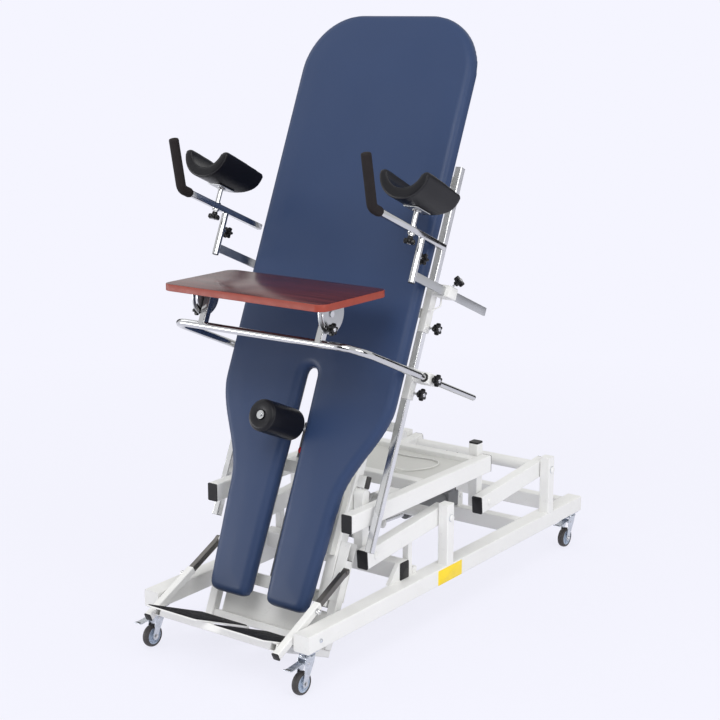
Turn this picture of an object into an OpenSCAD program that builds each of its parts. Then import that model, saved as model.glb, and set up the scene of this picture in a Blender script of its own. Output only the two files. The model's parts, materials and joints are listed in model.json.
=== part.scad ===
// Physiotherapy tilt table on a parallelogram lift base.
// X runs across the table, Y from the foot end to the head end, Z up from the floor.
// The origin is on the floor in the middle of the whole object.
// Parts of the table top are drawn in top coordinates: x across, s from the foot end of the
// pad towards the head, and t out of the pad's front face towards the patient.

/* [Table top] */
// Tilt of the table top above the horizontal, degrees
tilt = 66.8; // [60:0.1:70]
// Length of the pad
pad_len = 1986; // [1900:2:2100]
// Width of the pad at the hips
pad_hip_w = 686; // [676:2:700]
// Width of the pad at the head
pad_head_w = 692; // [660:2:700]
// Width of the pad at the foot end
pad_foot_w = 394; // [386:2:404]
// Width of the pad at the calves
pad_calf_w = 436; // [428:2:446]
// Thickness of the pad
pad_t = 48; // [42:1:50]
// Thickness of the backing board
board_t = 18; // [14:1:20]
// How far the pad's face stands in front of the plane that the frame is measured from
pad_lift = 36; // [34:1:40]
// Depth of the frame's front behind that plane
frame_depth = 55; // [54:1:58]
// Distance from the foot end to the end of the leg slot
slot_len = 775; // [760:5:800]
// Width of the leg slot at the foot end
slot_foot_w = 76; // [72:1:80]
// Width of the leg slot at its closed end
slot_top_w = 56; // [54:1:62]
// Radius of the pad's head corners
head_r = 205; // [150:5:240]
// Radius of the pad's corners at the feet
foot_r = 28; // [20:1:36]

/* [Table frame] */
// Outer size of the square frame tubes
frame_tube = 40; // [34:1:44]
// Wall of all steel tubes
tube_wall = 2.5; // [2:0.25:3]
// Corner radius of all steel tubes
tube_r = 4; // [3:0.5:5]
// Depth of the cross tubes behind the board
cross_d = 26; // [22:1:28]
// Distance between the outer faces of the two long tubes
frame_w = 432; // [428:1:436]
// Size of the square side rails
rail_size = 25; // [22:1:26]
// Distance between the outer faces of the side rails
rail_span = 662; // [656:2:668]
// Foot end of the side rails
rail_s0 = 237; // [220:1:260]
// Head end of the side rails
rail_s1 = 1500; // [1480:5:1600]

/* [Base] */
// Length of the base rails
base_len = 1700; // [1660:10:1800]
// Width over the base rails
base_w = 678; // [674:2:690]
// Width of a base rail
base_rail_w = 60; // [56:1:62]
// Height of a base rail
base_rail_h = 57; // [50:1:62]
// Height of the casters
caster_h = 133; // [128:1:140]
// Radius of a caster wheel
wheel_r = 37.5; // [34:0.5:38]
// Width of a caster wheel
wheel_w = 24; // [20:1:25]
// Size of the square base posts
post_size = 40; // [36:1:42]

/* [Lift] */
// Distance from the rails' front end to the front base pivot
lift_y = 775; // [770:1:790]
// Height of the base pivots
base_pivot_z = 355; // [350:1:360]
// Distance between the front and rear arms
arm_span = 687; // [680:1:700]
// Distance from the rails' front end to the tilt pivot
tilt_y = 401; // [398:1:404]
// Height of the tilt pivot in the lowest position
tilt_z = 515; // [512:1:520]
// Height of the frame pivots in the lowest position
frame_pivot_z = 322; // [318:1:326]
// Height of the arm tubes
arm_h = 62; // [56:1:64]
// Radius of the main pivot pins
pin_r = 10; // [8:0.5:12]
// Radial clearance of every turning or sliding fit
run_fit = 0.06; // [0.03:0.01:0.1]

/* [Accessories] */
// Radius of the tray bar's bent tube
bar_r = 12.5; // [11:0.5:14]
// Radius of the tray bar's sliding rods
rod_r = 10; // [8:0.5:10]
// Place of the tray bar along the table
tray_s = 810; // [804:1:824]
// Distance of the tray bar's front tube from the pad's face
tray_t = 327; // [312:1:340]
// Width of the tray
tray_w = 640; // [620:2:650]
// Depth of the tray
tray_d = 336; // [320:2:360]
// Thickness of the tray
tray_h = 22; // [18:1:25]
// Place of the armrest bars along the table
arm_s = 1094; // [1088:1:1104]
// How much further the left armrest is drawn out than the right one
left_reach = 70; // [40:5:80]
// How much further forward the left forearm bar sits than the right one
left_bar_reach = 14; // [0:1:20]
// Length of a forearm gutter
gutter_len = 206; // [196:2:216]
// Width of a forearm gutter
gutter_w = 180; // [172:2:186]
// Place of the knee roll along the table
roll_s = 574; // [568:1:582]
// Radius of the knee roll
roll_r = 52.5; // [48:0.5:55]
// Length of the knee roll
roll_len = 178; // [160:2:190]
// Length of a footplate from heel to toe
foot_len = 286; // [260:2:300]
// Width of a footplate
foot_w = 212; // [204:1:214]

/* [Hidden] */

$fn = 48;
white = [0.93, 0.93, 0.91];
black = [0.08, 0.08, 0.09];
steel = [0.75, 0.76, 0.78];
zinc = [0.62, 0.66, 0.70];
navy = [0.22, 0.28, 0.40];

// One clearance for faces that slide, one for faces that only lie near each other
slide_gap = 0.3;
weld_gap = 0.1;
overrun = 2;

// The tilt pivot in top coordinates
board_back = frame_depth;
pivot_s = 407;
pivot_t = -board_back - frame_tube / 2;
tube_front = -board_back;
tube_back = tube_front - frame_tube;

// Base heights and places
base_z0 = caster_h;
base_z1 = caster_h + base_rail_h;
rail_x1 = base_w / 2;
rail_x0 = rail_x1 - base_rail_w;
plug_t = 3;
post_x0 = rail_x1 - post_size;
post_rise = 45;
post_z1 = base_pivot_z + post_rise;
arm_gap = 2;
arm_x1 = post_x0 - arm_gap;
arm_w = 39;
arm_x0 = arm_x1 - arm_w;
drop_x1 = arm_x0 - arm_gap;
drop_w = 37;
drop_x0 = drop_x1 - drop_w;
drop_d = 36;

// The arms run from the frame pivots at the front to the base pivots behind them
arm_dy = lift_y - tilt_y;
arm_dz = base_pivot_z - frame_pivot_z;
arm_len = norm([arm_dy, arm_dz]);
arm_angle = atan2(arm_dz, arm_dy);
arm_nose = 46;
arm_tail = 30;

// Lift frame
upper_h = 60;
upper_z0 = tilt_z - 85;
upper_z1 = upper_z0 + upper_h;
upper_y0 = tilt_y - 131;
rear_post_y = tilt_y + arm_span;
upper_y1 = rear_post_y + 7;
drop_z0 = frame_pivot_z - 24;
rest_z = tilt_z + pivot_t * -1 - board_back;
cap_h = 6;

// The front edge of the footplates and the rear plugs of the rails are the two ends
foot_mat_t = 3;
foot_plate_t = 4;
foot_s = -84.7;
heel_t = -28;
toe_t = heel_t + foot_len;
foot_under_s = foot_s - foot_mat_t - foot_plate_t;
toe_y = tilt_y + (foot_under_s - pivot_s) * cos(tilt) - (toe_t - pivot_t) * sin(tilt);
middle_y = (toe_y + base_len + plug_t) / 2;

// General building blocks

module on_floor() { translate([0, -middle_y, 0]) children(); }

module on_top() {
    on_floor() translate([0, tilt_y, tilt_z]) rotate([tilt, 0, 0])
        translate([0, -pivot_s, -pivot_t]) children();
}

module both_sides() {
    children();
    mirror([1, 0, 0]) children();
}

module side(right) {
    if (right) children();
    else mirror([1, 0, 0]) children();
}

// A rectangle with round corners, filled or as the wall of a tube
module round_rect(w, h, r) {
    square([w - 2 * r, h], center = true);
    square([w, h - 2 * r], center = true);
    for (x = [-1, 1], y = [-1, 1]) translate([x * (w / 2 - r), y * (h / 2 - r)]) circle(r);
}

module section(w, h, r, wall) {
    difference() {
        round_rect(w, h, r);
        if (wall > 0) round_rect(w - 2 * wall, h - 2 * wall, r - wall > 0 ? r - wall : r / 2);
    }
}

// A bar or tube between two opposite corners, along axis 0, 1 or 2
module beam(lo, hi, axis = 0, wall = 0, r = tube_r) {
    d = hi - lo;
    translate((lo + hi) / 2)
        rotate(axis == 0 ? [90, 0, 90] : axis == 1 ? [90, 0, 0] : [0, 0, 0])
            linear_extrude(d[axis], center = true)
                section(axis == 0 ? d[1] : d[0], axis == 2 ? d[1] : d[2], r, wall);
}

module box(lo, hi) { translate(lo) cube(hi - lo); }

// A round bar along X, Y or Z from one coordinate to another
module rod_x(x0, x1, r) { translate([x0, 0, 0]) rotate([0, 90, 0]) cylinder(r = r, h = x1 - x0); }
module rod_y(y0, y1, r) { translate([0, y0, 0]) rotate([-90, 0, 0]) cylinder(r = r, h = y1 - y0); }

// A plate across X whose outline is drawn in Y and Z
module plate_x(x0, x1) {
    translate([x0, 0, 0]) rotate([90, 0, 90]) linear_extrude(x1 - x0) children();
}

// A link outline between two points, round at both
module link(p, q, rp, rq) {
    a = atan2(q[1] - p[1], q[0] - p[0]);
    n = [-sin(a), cos(a)];
    translate(p) circle(rp);
    translate(q) circle(rq);
    polygon([p + n * rp, q + n * rq, q - n * rq, p - n * rp]);
}

// A flat dome over a bolt head, standing on the plane z = 0
module bolt_dome(r) {
    rotate_extrude() {
        dome_h = r * 0.45;
        square([r, dome_h / 2]);
        translate([0, dome_h / 2]) polygon([[0, 0], [r, 0], [r * 0.7, dome_h / 2], [0, dome_h / 2]]);
    }
}

// A hand knob with lobes, standing on z = 0 with its screw below
knob_r = 19;
knob_lobe_r = 6.5;
knob_lobes = 6;
knob_h = 15;
knob_neck_r = 9;
knob_neck_h = 9;
knob_screw_r = 4;
knob_chamfer = 2;

module star_knob(screw_len) {
    body_r = knob_r - knob_lobe_r;
    cylinder(r = knob_neck_r, h = knob_neck_h);
    translate([0, 0, knob_neck_h - weld_gap]) linear_extrude(knob_h + weld_gap) {
        circle(body_r);
        for (i = [0:knob_lobes - 1]) rotate(i * 360 / knob_lobes) translate([body_r, 0]) circle(knob_lobe_r);
    }
    translate([0, 0, knob_neck_h + knob_h - weld_gap]) cylinder(r1 = body_r, r2 = body_r - knob_chamfer, h = knob_chamfer);
    if (screw_len > 0) translate([0, 0, -screw_len]) cylinder(r = knob_screw_r, h = screw_len + overrun);
}

// Base: two long rails, cross tubes, posts and their gussets

base_cross_y = 545;
base_cross_w = 50;
base_cross_h = 60;
motor_cross_y = 1310;
rear_cross_y = 1620;
cross_tube_w = 40;
stop_y = 602;
stop_w = 22;
gusset_t = 5;
gusset_len = 60;
lift_pivot = [1330, 230];
lift_pin_r = 8;
motor_lug_w = 17;
ear_t = 6;
bolt_r = 12;

module base_rails() color(white) on_floor() both_sides() {
    beam([rail_x0, 0, base_z0], [rail_x1, base_len, base_z1], 1, tube_wall);
    for (y = [-plug_t, base_len]) beam([rail_x0, y, base_z0], [rail_x1, y + plug_t, base_z1], 1);
    for (y = [0, base_len]) beam(
        [rail_x0 + tube_wall, y == 0 ? 0 : y - 4 * plug_t, base_z0 + tube_wall],
        [rail_x1 - tube_wall, y == 0 ? 4 * plug_t : y, base_z1 - tube_wall], 1, 0, tube_r / 2);
    bolt_y = 55;
    translate([rail_x1, bolt_y, (base_z0 + base_z1) / 2]) rotate([0, 90, 0]) bolt_dome(bolt_r / 2);
}

module base_posts() {
    for (y = [lift_y, lift_y + arm_span]) difference() {
        beam([post_x0, y - post_size / 2, base_z1], [rail_x1, y + post_size / 2, post_z1], 2, tube_wall);
        translate([0, y, base_pivot_z]) rod_x(post_x0 - overrun, rail_x1 + overrun, pin_r + run_fit);
    }
    for (y = [lift_y, lift_y + arm_span]) beam(
        [post_x0, y - post_size / 2, post_z1], [rail_x1, y + post_size / 2, post_z1 + plug_t], 2);
}

module base_uprights() color(white) on_floor() {
    base_cross_x = rail_x0 + base_rail_w / 6;
    beam([-base_cross_x, base_cross_y, base_z1], [base_cross_x, base_cross_y + base_cross_w, base_z1 + base_cross_h],
        0, tube_wall);
    for (y = [motor_cross_y, rear_cross_y])
        beam([-rail_x0, y, base_z0], [rail_x0, y + cross_tube_w, base_z1], 0, tube_wall);
    both_sides() {
        base_posts();
        arm_under_z = frame_pivot_z + (stop_y + stop_w / 2 - tilt_y) * tan(arm_angle)
            - arm_h / 2 / cos(arm_angle) - stop_w / 2 * tan(arm_angle);
        box([arm_x0 + plug_t, stop_y, base_z1], [arm_x0 + plug_t + stop_w, stop_y + stop_w, arm_under_z - slide_gap]);
        box([arm_x0 + plug_t, stop_y + stop_w, base_z1], [rail_x0 + tube_r * 2, stop_y + 2 * stop_w, base_z1 + stop_w]);
        gusset_x = rail_x0 - gusset_t;
        plate_x(gusset_x, rail_x0 + base_rail_w / 6) polygon([
            [base_cross_y, base_z1], [base_cross_y, base_z1 + base_cross_h],
            [base_cross_y - gusset_t, base_z1 + base_cross_h], [base_cross_y - gusset_len, base_z1]
        ]);
        plate_x(motor_lug_w + slide_gap, motor_lug_w + slide_gap + ear_t) difference() {
            ear_r = 2 * lift_pin_r;
            union() {
                translate(lift_pivot) circle(ear_r);
                translate([lift_pivot[0] - ear_r, base_z1]) square([2 * ear_r, lift_pivot[1] - base_z1]);
            }
        }
    }
    translate([0, lift_pivot[0], lift_pivot[1]])
        rod_x(-motor_lug_w - 2 * ear_t, motor_lug_w + 2 * ear_t, lift_pin_r);
}

// Casters: the stem is at the origin on the floor and the wheel trails towards -Y

caster_x = (rail_x0 + rail_x1) / 2;
caster_y_front = 26;
caster_y_rear = base_len - 37;
caster_plate_t = 3;
caster_trail = 30;
kingpin_r = 6;
fork_t = 3;
fork_gap = 1.5;
fork_x0 = wheel_w / 2 + fork_gap;
fork_x1 = fork_x0 + fork_t;
race_r = 25;
race_z0 = caster_h - caster_plate_t - 15;
axle_r = 4;
fork_foot_r = 12;
pedal_pivot = [-14, 98];
pedal_pin_r = 3;
pedal_len = 88;
pedal_t = 3;
kingpin_head_h = 6;

function caster_at(front, right) = [right ? caster_x : -caster_x, front ? caster_y_front : caster_y_rear, 0];

module caster(front, right) { on_floor() translate(caster_at(front, right)) children(); }

module caster_plates() color(zinc) for (front = [true, false], right = [true, false]) caster(front, right) {
    plate_z0 = caster_h - caster_plate_t;
    translate([0, 0, plate_z0 + caster_plate_t / 2]) cube([base_rail_w - 2 * tube_r, base_rail_w - 2 * tube_r, caster_plate_t], center = true);
    translate([0, 0, race_z0 - kingpin_head_h]) cylinder(r = kingpin_r, h = plate_z0 - race_z0 + kingpin_head_h);
    translate([0, 0, race_z0 - kingpin_head_h]) cylinder(r = 1.6 * kingpin_r, h = kingpin_head_h - slide_gap);
}

module fork_shape() {
    polygon([
        [-race_r, race_z0], [race_r * 0.8, race_z0],
        [-caster_trail + fork_foot_r, wheel_r], [-caster_trail - fork_foot_r, wheel_r]
    ]);
    translate([-caster_trail, wheel_r]) circle(fork_foot_r);
}

module caster_fork(front, right) color(zinc) caster(front, right) {
    difference() {
        union() {
            translate([0, 0, race_z0 + fork_t]) cylinder(r = race_r, h = caster_h - caster_plate_t - race_z0 - fork_t - slide_gap);
            translate([-fork_x1, -race_r, race_z0]) cube([2 * fork_x1, race_r * 1.8, fork_t]);
        }
        translate([0, 0, race_z0 - overrun]) cylinder(r = kingpin_r + run_fit, h = caster_h);
    }
    both_sides() plate_x(fork_x0, fork_x1) fork_shape();
    translate([0, -caster_trail, wheel_r]) {
        rod_x(-fork_x1 - fork_t, fork_x1 + fork_t, axle_r);
        both_sides() rod_x(fork_x1, fork_x1 + fork_t, 1.8 * axle_r);
    }
    translate([0, pedal_pivot[0], pedal_pivot[1]]) rod_x(-fork_x1 - fork_t / 2, fork_x1 + fork_t / 2, pedal_pin_r);
}

module caster_wheel(front, right) caster(front, right) translate([0, -caster_trail, wheel_r]) rotate([0, 90, 0]) {
    rim_r = wheel_r * 0.72;
    tread_r = wheel_w / 4;
    face_in = wheel_w / 10;
    color(zinc) rotate_extrude() difference() {
        translate([axle_r + run_fit, -wheel_w / 2]) square([rim_r - axle_r - run_fit, wheel_w]);
        for (y = [-1, 1]) translate([(rim_r + 3 * axle_r) / 2, y * wheel_w / 2])
            square([rim_r - 3 * axle_r, 2 * face_in], center = true);
    }
    color([0.35, 0.36, 0.39]) rotate_extrude() {
        translate([rim_r, -wheel_w / 2]) square([wheel_r - tread_r - rim_r, wheel_w]);
        translate([rim_r, -wheel_w / 2 + tread_r]) square([wheel_r - rim_r, wheel_w - 2 * tread_r]);
        for (y = [-1, 1]) translate([wheel_r - tread_r, y * (wheel_w / 2 - tread_r)]) circle(tread_r);
    }
}

module caster_pedal(front, right) color(zinc) caster(front, right) {
    half = fork_x0 - slide_gap;
    barrel_r = 2 * pedal_pin_r;
    tip_rise = 5;
    difference() {
        union() {
            translate([0, pedal_pivot[0], pedal_pivot[1]]) rod_x(-half, half, barrel_r);
            plate_x(-half, half) polygon([
                [pedal_pivot[0], pedal_pivot[1] + barrel_r - pedal_t],
                [pedal_pivot[0] - pedal_len + pedal_t * 4, pedal_pivot[1] - pedal_t],
                [pedal_pivot[0] - pedal_len, pedal_pivot[1] - pedal_t + tip_rise],
                [pedal_pivot[0] - pedal_len, pedal_pivot[1] + tip_rise],
                [pedal_pivot[0] - pedal_len + pedal_t * 4, pedal_pivot[1]],
                [pedal_pivot[0], pedal_pivot[1] + barrel_r]
            ]);
        }
        translate([0, pedal_pivot[0], pedal_pivot[1]]) rod_x(-half - overrun, half + overrun, pedal_pin_r + run_fit);
    }
}

// Lift arms: the front pair turns the lift frame and carries the actuator's lever

torque_r = 22;
lever_y = 55;
lever_z = -100;
lever_x0 = 14;
lever_t = 8;
eye_r = 16;
eye_half = 13;
arm_pin_reach = 3;

module arm_pair(base_y) on_floor() both_sides() {
    frame_y = base_y - arm_dy;
    translate([0, frame_y, frame_pivot_z]) rotate([arm_angle, 0, 0]) {
        beam([arm_x0, -arm_nose, -arm_h / 2], [arm_x1, arm_len + arm_tail, arm_h / 2], 1, tube_wall);
        for (y = [-arm_nose - plug_t, arm_len + arm_tail])
            beam([arm_x0, y, -arm_h / 2], [arm_x1, y + plug_t, arm_h / 2], 1);
    }
    translate([0, frame_y, frame_pivot_z]) {
        rod_x(drop_x0 - arm_pin_reach, arm_x0 + arm_w / 2, pin_r);
        translate([arm_x1, 0, 0]) rotate([0, 90, 0]) bolt_dome(bolt_r);
    }
    translate([0, base_y, base_pivot_z]) {
        rod_x(arm_x0 + arm_w / 2, rail_x1 + arm_pin_reach, pin_r);
        translate([rail_x1 + arm_gap, 0, 0]) rotate([0, 90, 0]) bolt_dome(bolt_r);
        rod_x(rail_x1 + slide_gap, rail_x1 + arm_gap, bolt_r);
    }
}

module torque_tube(base_y) on_floor() translate([0, base_y, base_pivot_z])
    difference() {
        rod_x(-arm_x0, arm_x0, torque_r);
        rod_x(-arm_x0 + tube_wall, arm_x0 - tube_wall, torque_r - tube_wall);
    }

module front_arms() color(white) {
    arm_pair(lift_y);
    torque_tube(lift_y);
    on_floor() both_sides() {
        plate_x(lever_x0, lever_x0 + lever_t) difference() {
            link([lift_y, base_pivot_z], [lift_y + lever_y, base_pivot_z + lever_z], torque_r * 1.3, eye_r);
            translate([lift_y, base_pivot_z]) circle(torque_r - tube_wall / 2);
        }
        translate([lever_x0 + lever_t, lift_y + lever_y, base_pivot_z + lever_z]) rotate([0, 90, 0]) bolt_dome(bolt_r);
    }
}

module rear_arms() color(white) {
    arm_pair(lift_y + arm_span);
    torque_tube(lift_y + arm_span);
}

// Lift frame: upper rails, drop posts at the tilt pivot and at the rear, cross tubes and hanger

hanger_y = 690;
hanger_pivot = [640, 272];
hanger_x0 = 32;
hanger_pin_r = 7;
rear_tie_y = upper_y1 - cross_tube_w - drop_d;
tie_z0 = upper_z1 - cross_tube_w;

module drop_post(y, top, round_top) difference() {
    union() {
        beam([drop_x0, y - drop_d / 2, drop_z0], [drop_x1, y + drop_d / 2, top], 2);
        if (round_top) translate([0, y, top]) rod_x(drop_x0, drop_x1, drop_d / 2);
        box([drop_x1 - tube_r, y - drop_d / 2, upper_z0 + tube_r], [arm_x0, y + drop_d / 2, upper_z1 - tube_r]);
    }
    for (z = round_top ? [frame_pivot_z, tilt_z] : [frame_pivot_z])
        translate([0, y, z]) rod_x(drop_x0 - overrun, drop_x1 + overrun, pin_r + run_fit);
}

module lift_frame() color(white) on_floor() {
    both_sides() {
        beam([arm_x0, upper_y0, upper_z0], [arm_x1, upper_y1, upper_z1], 1, tube_wall);
        drop_post(tilt_y, tilt_z, true);
        drop_post(rear_post_y, rest_z - slide_gap - cap_h, false);
        plate_x(hanger_x0, hanger_x0 + ear_t) {
            translate(hanger_pivot) circle(2 * hanger_pin_r);
            polygon([
                [hanger_pivot[0] - 2 * hanger_pin_r, hanger_pivot[1]], [hanger_y, tie_z0],
                [hanger_y + cross_tube_w, tie_z0], [hanger_pivot[0] + 2 * hanger_pin_r, hanger_pivot[1]]
            ]);
        }
    }
    translate([0, hanger_pivot[0], hanger_pivot[1]]) rod_x(-hanger_x0 - 1.5 * ear_t, hanger_x0 + 1.5 * ear_t, hanger_pin_r);
    for (y = [hanger_y, rear_tie_y])
        beam([-arm_x0 + weld_gap, y, tie_z0], [arm_x0 - weld_gap, y + cross_tube_w, upper_z1], 0, tube_wall);
}

module lift_frame_caps() color(black) on_floor() both_sides() {
    for (y = [upper_y0 - plug_t, upper_y1]) beam([arm_x0, y, upper_z0], [arm_x1, y + plug_t, upper_z1], 1);
    top = rest_z - slide_gap;
    beam([drop_x0, rear_post_y - drop_d / 2, top - cap_h], [drop_x1, rear_post_y + drop_d / 2, top], 2);
}

// Sheet plate between the upper rails, with turned-down rims and the control box under it

plate_sheet_t = 2;
plate_rim = 14;
plate_y0 = hanger_y + cross_tube_w + weld_gap;
plate_y1 = rear_tie_y - weld_gap;
plate_z = upper_z1 - 16;
control_w = 210;
control_d = 130;
control_h = 48;
gland_r = 8;
gland_h = 6;
cable_start = [-70, 1000];
cable_end = [110, 770];

module equipment_plate() color(steel) on_floor() {
    half = arm_x0 - weld_gap;
    box([-half, plate_y0, plate_z - plate_sheet_t], [half, plate_y1, plate_z]);
    both_sides() box([half - plate_sheet_t, plate_y0, plate_z - plate_sheet_t], [half, plate_y1, plate_z + plate_rim]);
    for (y = [plate_y0, plate_y1 - plate_sheet_t])
        box([-half, y, plate_z - plate_rim], [half, y + plate_sheet_t, plate_z]);
    control_y = (plate_y0 + plate_y1) / 2;
    beam([-control_w / 2, control_y - control_d / 2, plate_z - plate_sheet_t - control_h],
        [control_w / 2, control_y + control_d / 2, plate_z - plate_sheet_t], 2);
    for (p = [cable_start, cable_end]) translate([p[0], p[1], plate_z]) cylinder(r = gland_r, h = gland_h);
}

// The cable between the two glands, lying on the plate in one loose curve

cable_r = 3;
cable_points = [
    [-70, 1000, 483], [-70, 1000, 488], [-66, 994, 490], [-50, 980, 486], [-30, 966, 479],
    [0, 958, 477.5], [40, 956, 477.5], [80, 962, 477.5], [120, 968, 477.5], [155, 962, 477.5],
    [178, 940, 477.5], [186, 905, 477.5], [178, 868, 477.5], [160, 834, 477.5], [138, 806, 478],
    [122, 786, 484], [113, 774, 490], [110, 770, 488], [110, 770, 483]
];
cable_sides = 8;
cable_steps = 3;

function spline(p, i, u) = let(
        a = p[max(i - 1, 0)], b = p[i], c = p[i + 1], d = p[min(i + 2, len(p) - 1)])
    0.5 * (2 * b + (c - a) * u + (2 * a - 5 * b + 4 * c - d) * u * u + (3 * b - a - 3 * c + d) * u * u * u);

function unit(v) = v / norm(v);

function path_of(p, n) = concat(
    [for (i = [0:len(p) - 2], k = [0:n - 1]) spline(p, i, k / n)], [p[len(p) - 1]]);

// Rings of a swept tube, each square to the path and turned as little as possible
function tube_rings(path, r, n) = let(m = len(path)) [for (i = [0:m - 1]) let(
        along = unit(path[min(i + 1, m - 1)] - path[max(i - 1, 0)]),
        across = unit(cross(along, abs(along[0]) < 0.9 ? [1, 0, 0] : [0, 1, 0])),
        other = cross(along, across))
    [for (k = [0:n - 1]) path[i] + r * (across * cos(360 * k / n) + other * sin(360 * k / n))]];

// A closed skin over rings that have the same number of points
module skin(rings) {
    m = len(rings);
    n = len(rings[0]);
    polyhedron(
        points = [for (ring = rings) each ring],
        faces = concat(
            [[for (i = [0:n - 1]) i]],
            [for (j = [0:m - 2], i = [0:n - 1]) [j * n + i, (j + 1) * n + i, (j + 1) * n + (i + 1) % n]],
            [for (j = [0:m - 2], i = [0:n - 1]) [j * n + i, (j + 1) * n + (i + 1) % n, j * n + (i + 1) % n]],
            [[for (i = [n - 1:-1:0]) (m - 1) * n + i]]
        ),
        convexity = 6
    );
}

module actuator_cable() color([0.85, 0.85, 0.83]) on_floor()
    skin(tube_rings(path_of(cable_points, cable_steps), cable_r, cable_sides));

// Actuators: drawn along +Y from their lower pivot

function eye_world(s, t) = [
    tilt_y + (s - pivot_s) * cos(tilt) - (t - pivot_t) * sin(tilt),
    tilt_z + (s - pivot_s) * sin(tilt) + (t - pivot_t) * cos(tilt)];

module along(p, q) translate([0, p[0], p[1]]) rotate([atan2(q[1] - p[1], q[0] - p[0]), 0, 0]) children();

lift_eye = [lift_y + lever_y, base_pivot_z + lever_z];
lift_len = norm(lift_eye - lift_pivot);
tilt_lever_s = 75;
tilt_lever_t = -50;
tilt_eye = eye_world(pivot_s + tilt_lever_s, pivot_t + tilt_lever_t);
tilt_len = norm(tilt_eye - hanger_pivot);

module lift_motor() color([0.45, 0.46, 0.48]) on_floor() along(lift_pivot, lift_eye) {
    gear_y0 = 26;
    gear_y1 = 92;
    gear_half = 29;
    tube_r0 = 20;
    tube_end = 340;
    bore_y = 100;
    motor_len = 104;
    motor_r = 29;
    difference() {
        union() {
            rod_x(-motor_lug_w, motor_lug_w, 1.75 * lift_pin_r);
            box([-motor_lug_w, 0, -1.4 * lift_pin_r], [motor_lug_w, gear_y0 + overrun, 1.4 * lift_pin_r]);
            beam([-gear_half, gear_y0, -gear_half], [gear_half, gear_y1, gear_half], 0);
            rod_y(gear_y1 - overrun, tube_end, tube_r0);
            rod_y(tube_end - tube_r0, tube_end, tube_r0 + tube_wall);
        }
        rod_y(bore_y, tube_end + overrun, rod_lift_r + slide_gap);
        rod_x(-motor_lug_w - overrun, motor_lug_w + overrun, lift_pin_r + run_fit);
    }
    translate([0, (gear_y0 + gear_y1) / 2, -gear_half - motor_len]) {
        cylinder(r = motor_r, h = motor_len + overrun);
        translate([0, 0, -motor_r / 4]) cylinder(r = motor_r * 0.6, h = motor_r / 2);
    }
}

rod_lift_r = 10;
rod_tilt_r = 9;

module actuator_rod(len, inner, r, half, outer_r, bore) {
    rod_y(inner, len - outer_r * 0.8, r);
    translate([0, len, 0]) difference() {
        rod_x(-half, half, outer_r);
        rod_x(-half - overrun, half + overrun, bore);
    }
}

module lift_rod() color(steel) on_floor() along(lift_pivot, lift_eye) {
    lift_rod_inner = 150;
    actuator_rod(lift_len, lift_rod_inner, rod_lift_r, eye_half, eye_r, lift_pin_r);
}

tilt_eye_half = 11;
tilt_eye_r = 14;

module tilt_motor() color([0.45, 0.46, 0.48]) on_floor() along(hanger_pivot, tilt_eye) {
    lug_half = 28;
    gear_y0 = 30;
    gear_y1 = 95;
    gear_half = 25;
    tube_r0 = 17;
    tube_end = 195;
    bore_y = 45;
    motor_r = 23;
    motor_len = 96;
    difference() {
        union() {
            rod_x(-lug_half, lug_half, 1.8 * hanger_pin_r);
            box([-gear_half, 0, -1.4 * hanger_pin_r], [gear_half, gear_y0 + overrun, 1.4 * hanger_pin_r]);
            beam([-gear_half, gear_y0, -gear_half], [gear_half, gear_y1, gear_half], 0);
            rod_y(gear_y1 - overrun, tube_end, tube_r0);
            rod_y(tube_end - tube_r0, tube_end, tube_r0 + tube_wall);
            translate([0, gear_y1 - motor_r, 0]) rod_x(0, gear_half + motor_len, motor_r);
        }
        rod_y(bore_y, tube_end + overrun, rod_tilt_r + slide_gap);
        rod_x(-lug_half - overrun, lug_half + overrun, hanger_pin_r + run_fit);
    }
}

module tilt_rod() color(steel) on_floor() along(hanger_pivot, tilt_eye) {
    tilt_rod_inner = 140;
    actuator_rod(tilt_len, tilt_rod_inner, rod_tilt_r, tilt_eye_half, tilt_eye_r, hanger_pin_r);
}

// Table frame in top coordinates

frame_x1 = frame_w / 2;
frame_x0 = frame_x1 - frame_tube;
side_x1 = rail_span / 2;
side_x0 = side_x1 - rail_size;
side_rail_drop = 7.5;
side_t1 = tube_front - side_rail_drop;
side_t0 = side_t1 - rail_size;
frame_s0 = 40;
frame_s1 = pad_len - 110;
cross_s_foot = 42;
cross_s_pivot = pivot_s + 21;
cross_s_slot = slot_len + 8;
cross_s_head = 1700;
outrigger_s = [622, 1000, 1440];
outrigger_w = 30;
stub_len = 30;
cross_back = tube_back;
cross_front = tube_back + cross_d;
guide_t = 3;
foot_tube = 32;
guide_x0 = frame_x1 + guide_t;
foot_x0 = guide_x0 + guide_t + slide_gap;
foot_x1 = foot_x0 + foot_tube;
foot_t1 = tube_front - guide_t - 2 * slide_gap;
foot_t0 = foot_t1 - foot_tube;
guide_s0 = 60;
guide_s1 = 250;

module foot_guide() {
    box([frame_x1 - weld_gap, guide_s0, foot_t0 + foot_tube / 4], [guide_x0 + guide_t / 2, guide_s1, foot_t1 - foot_tube / 4]);
    box([guide_x0, guide_s0, foot_t0 - slide_gap - guide_t], [guide_x0 + guide_t, guide_s1, foot_t1 + slide_gap + guide_t]);
    for (t = [foot_t0 - slide_gap - guide_t, foot_t1 + slide_gap])
        box([guide_x0, guide_s0, t], [foot_x1, guide_s1, t + guide_t]);
}

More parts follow.
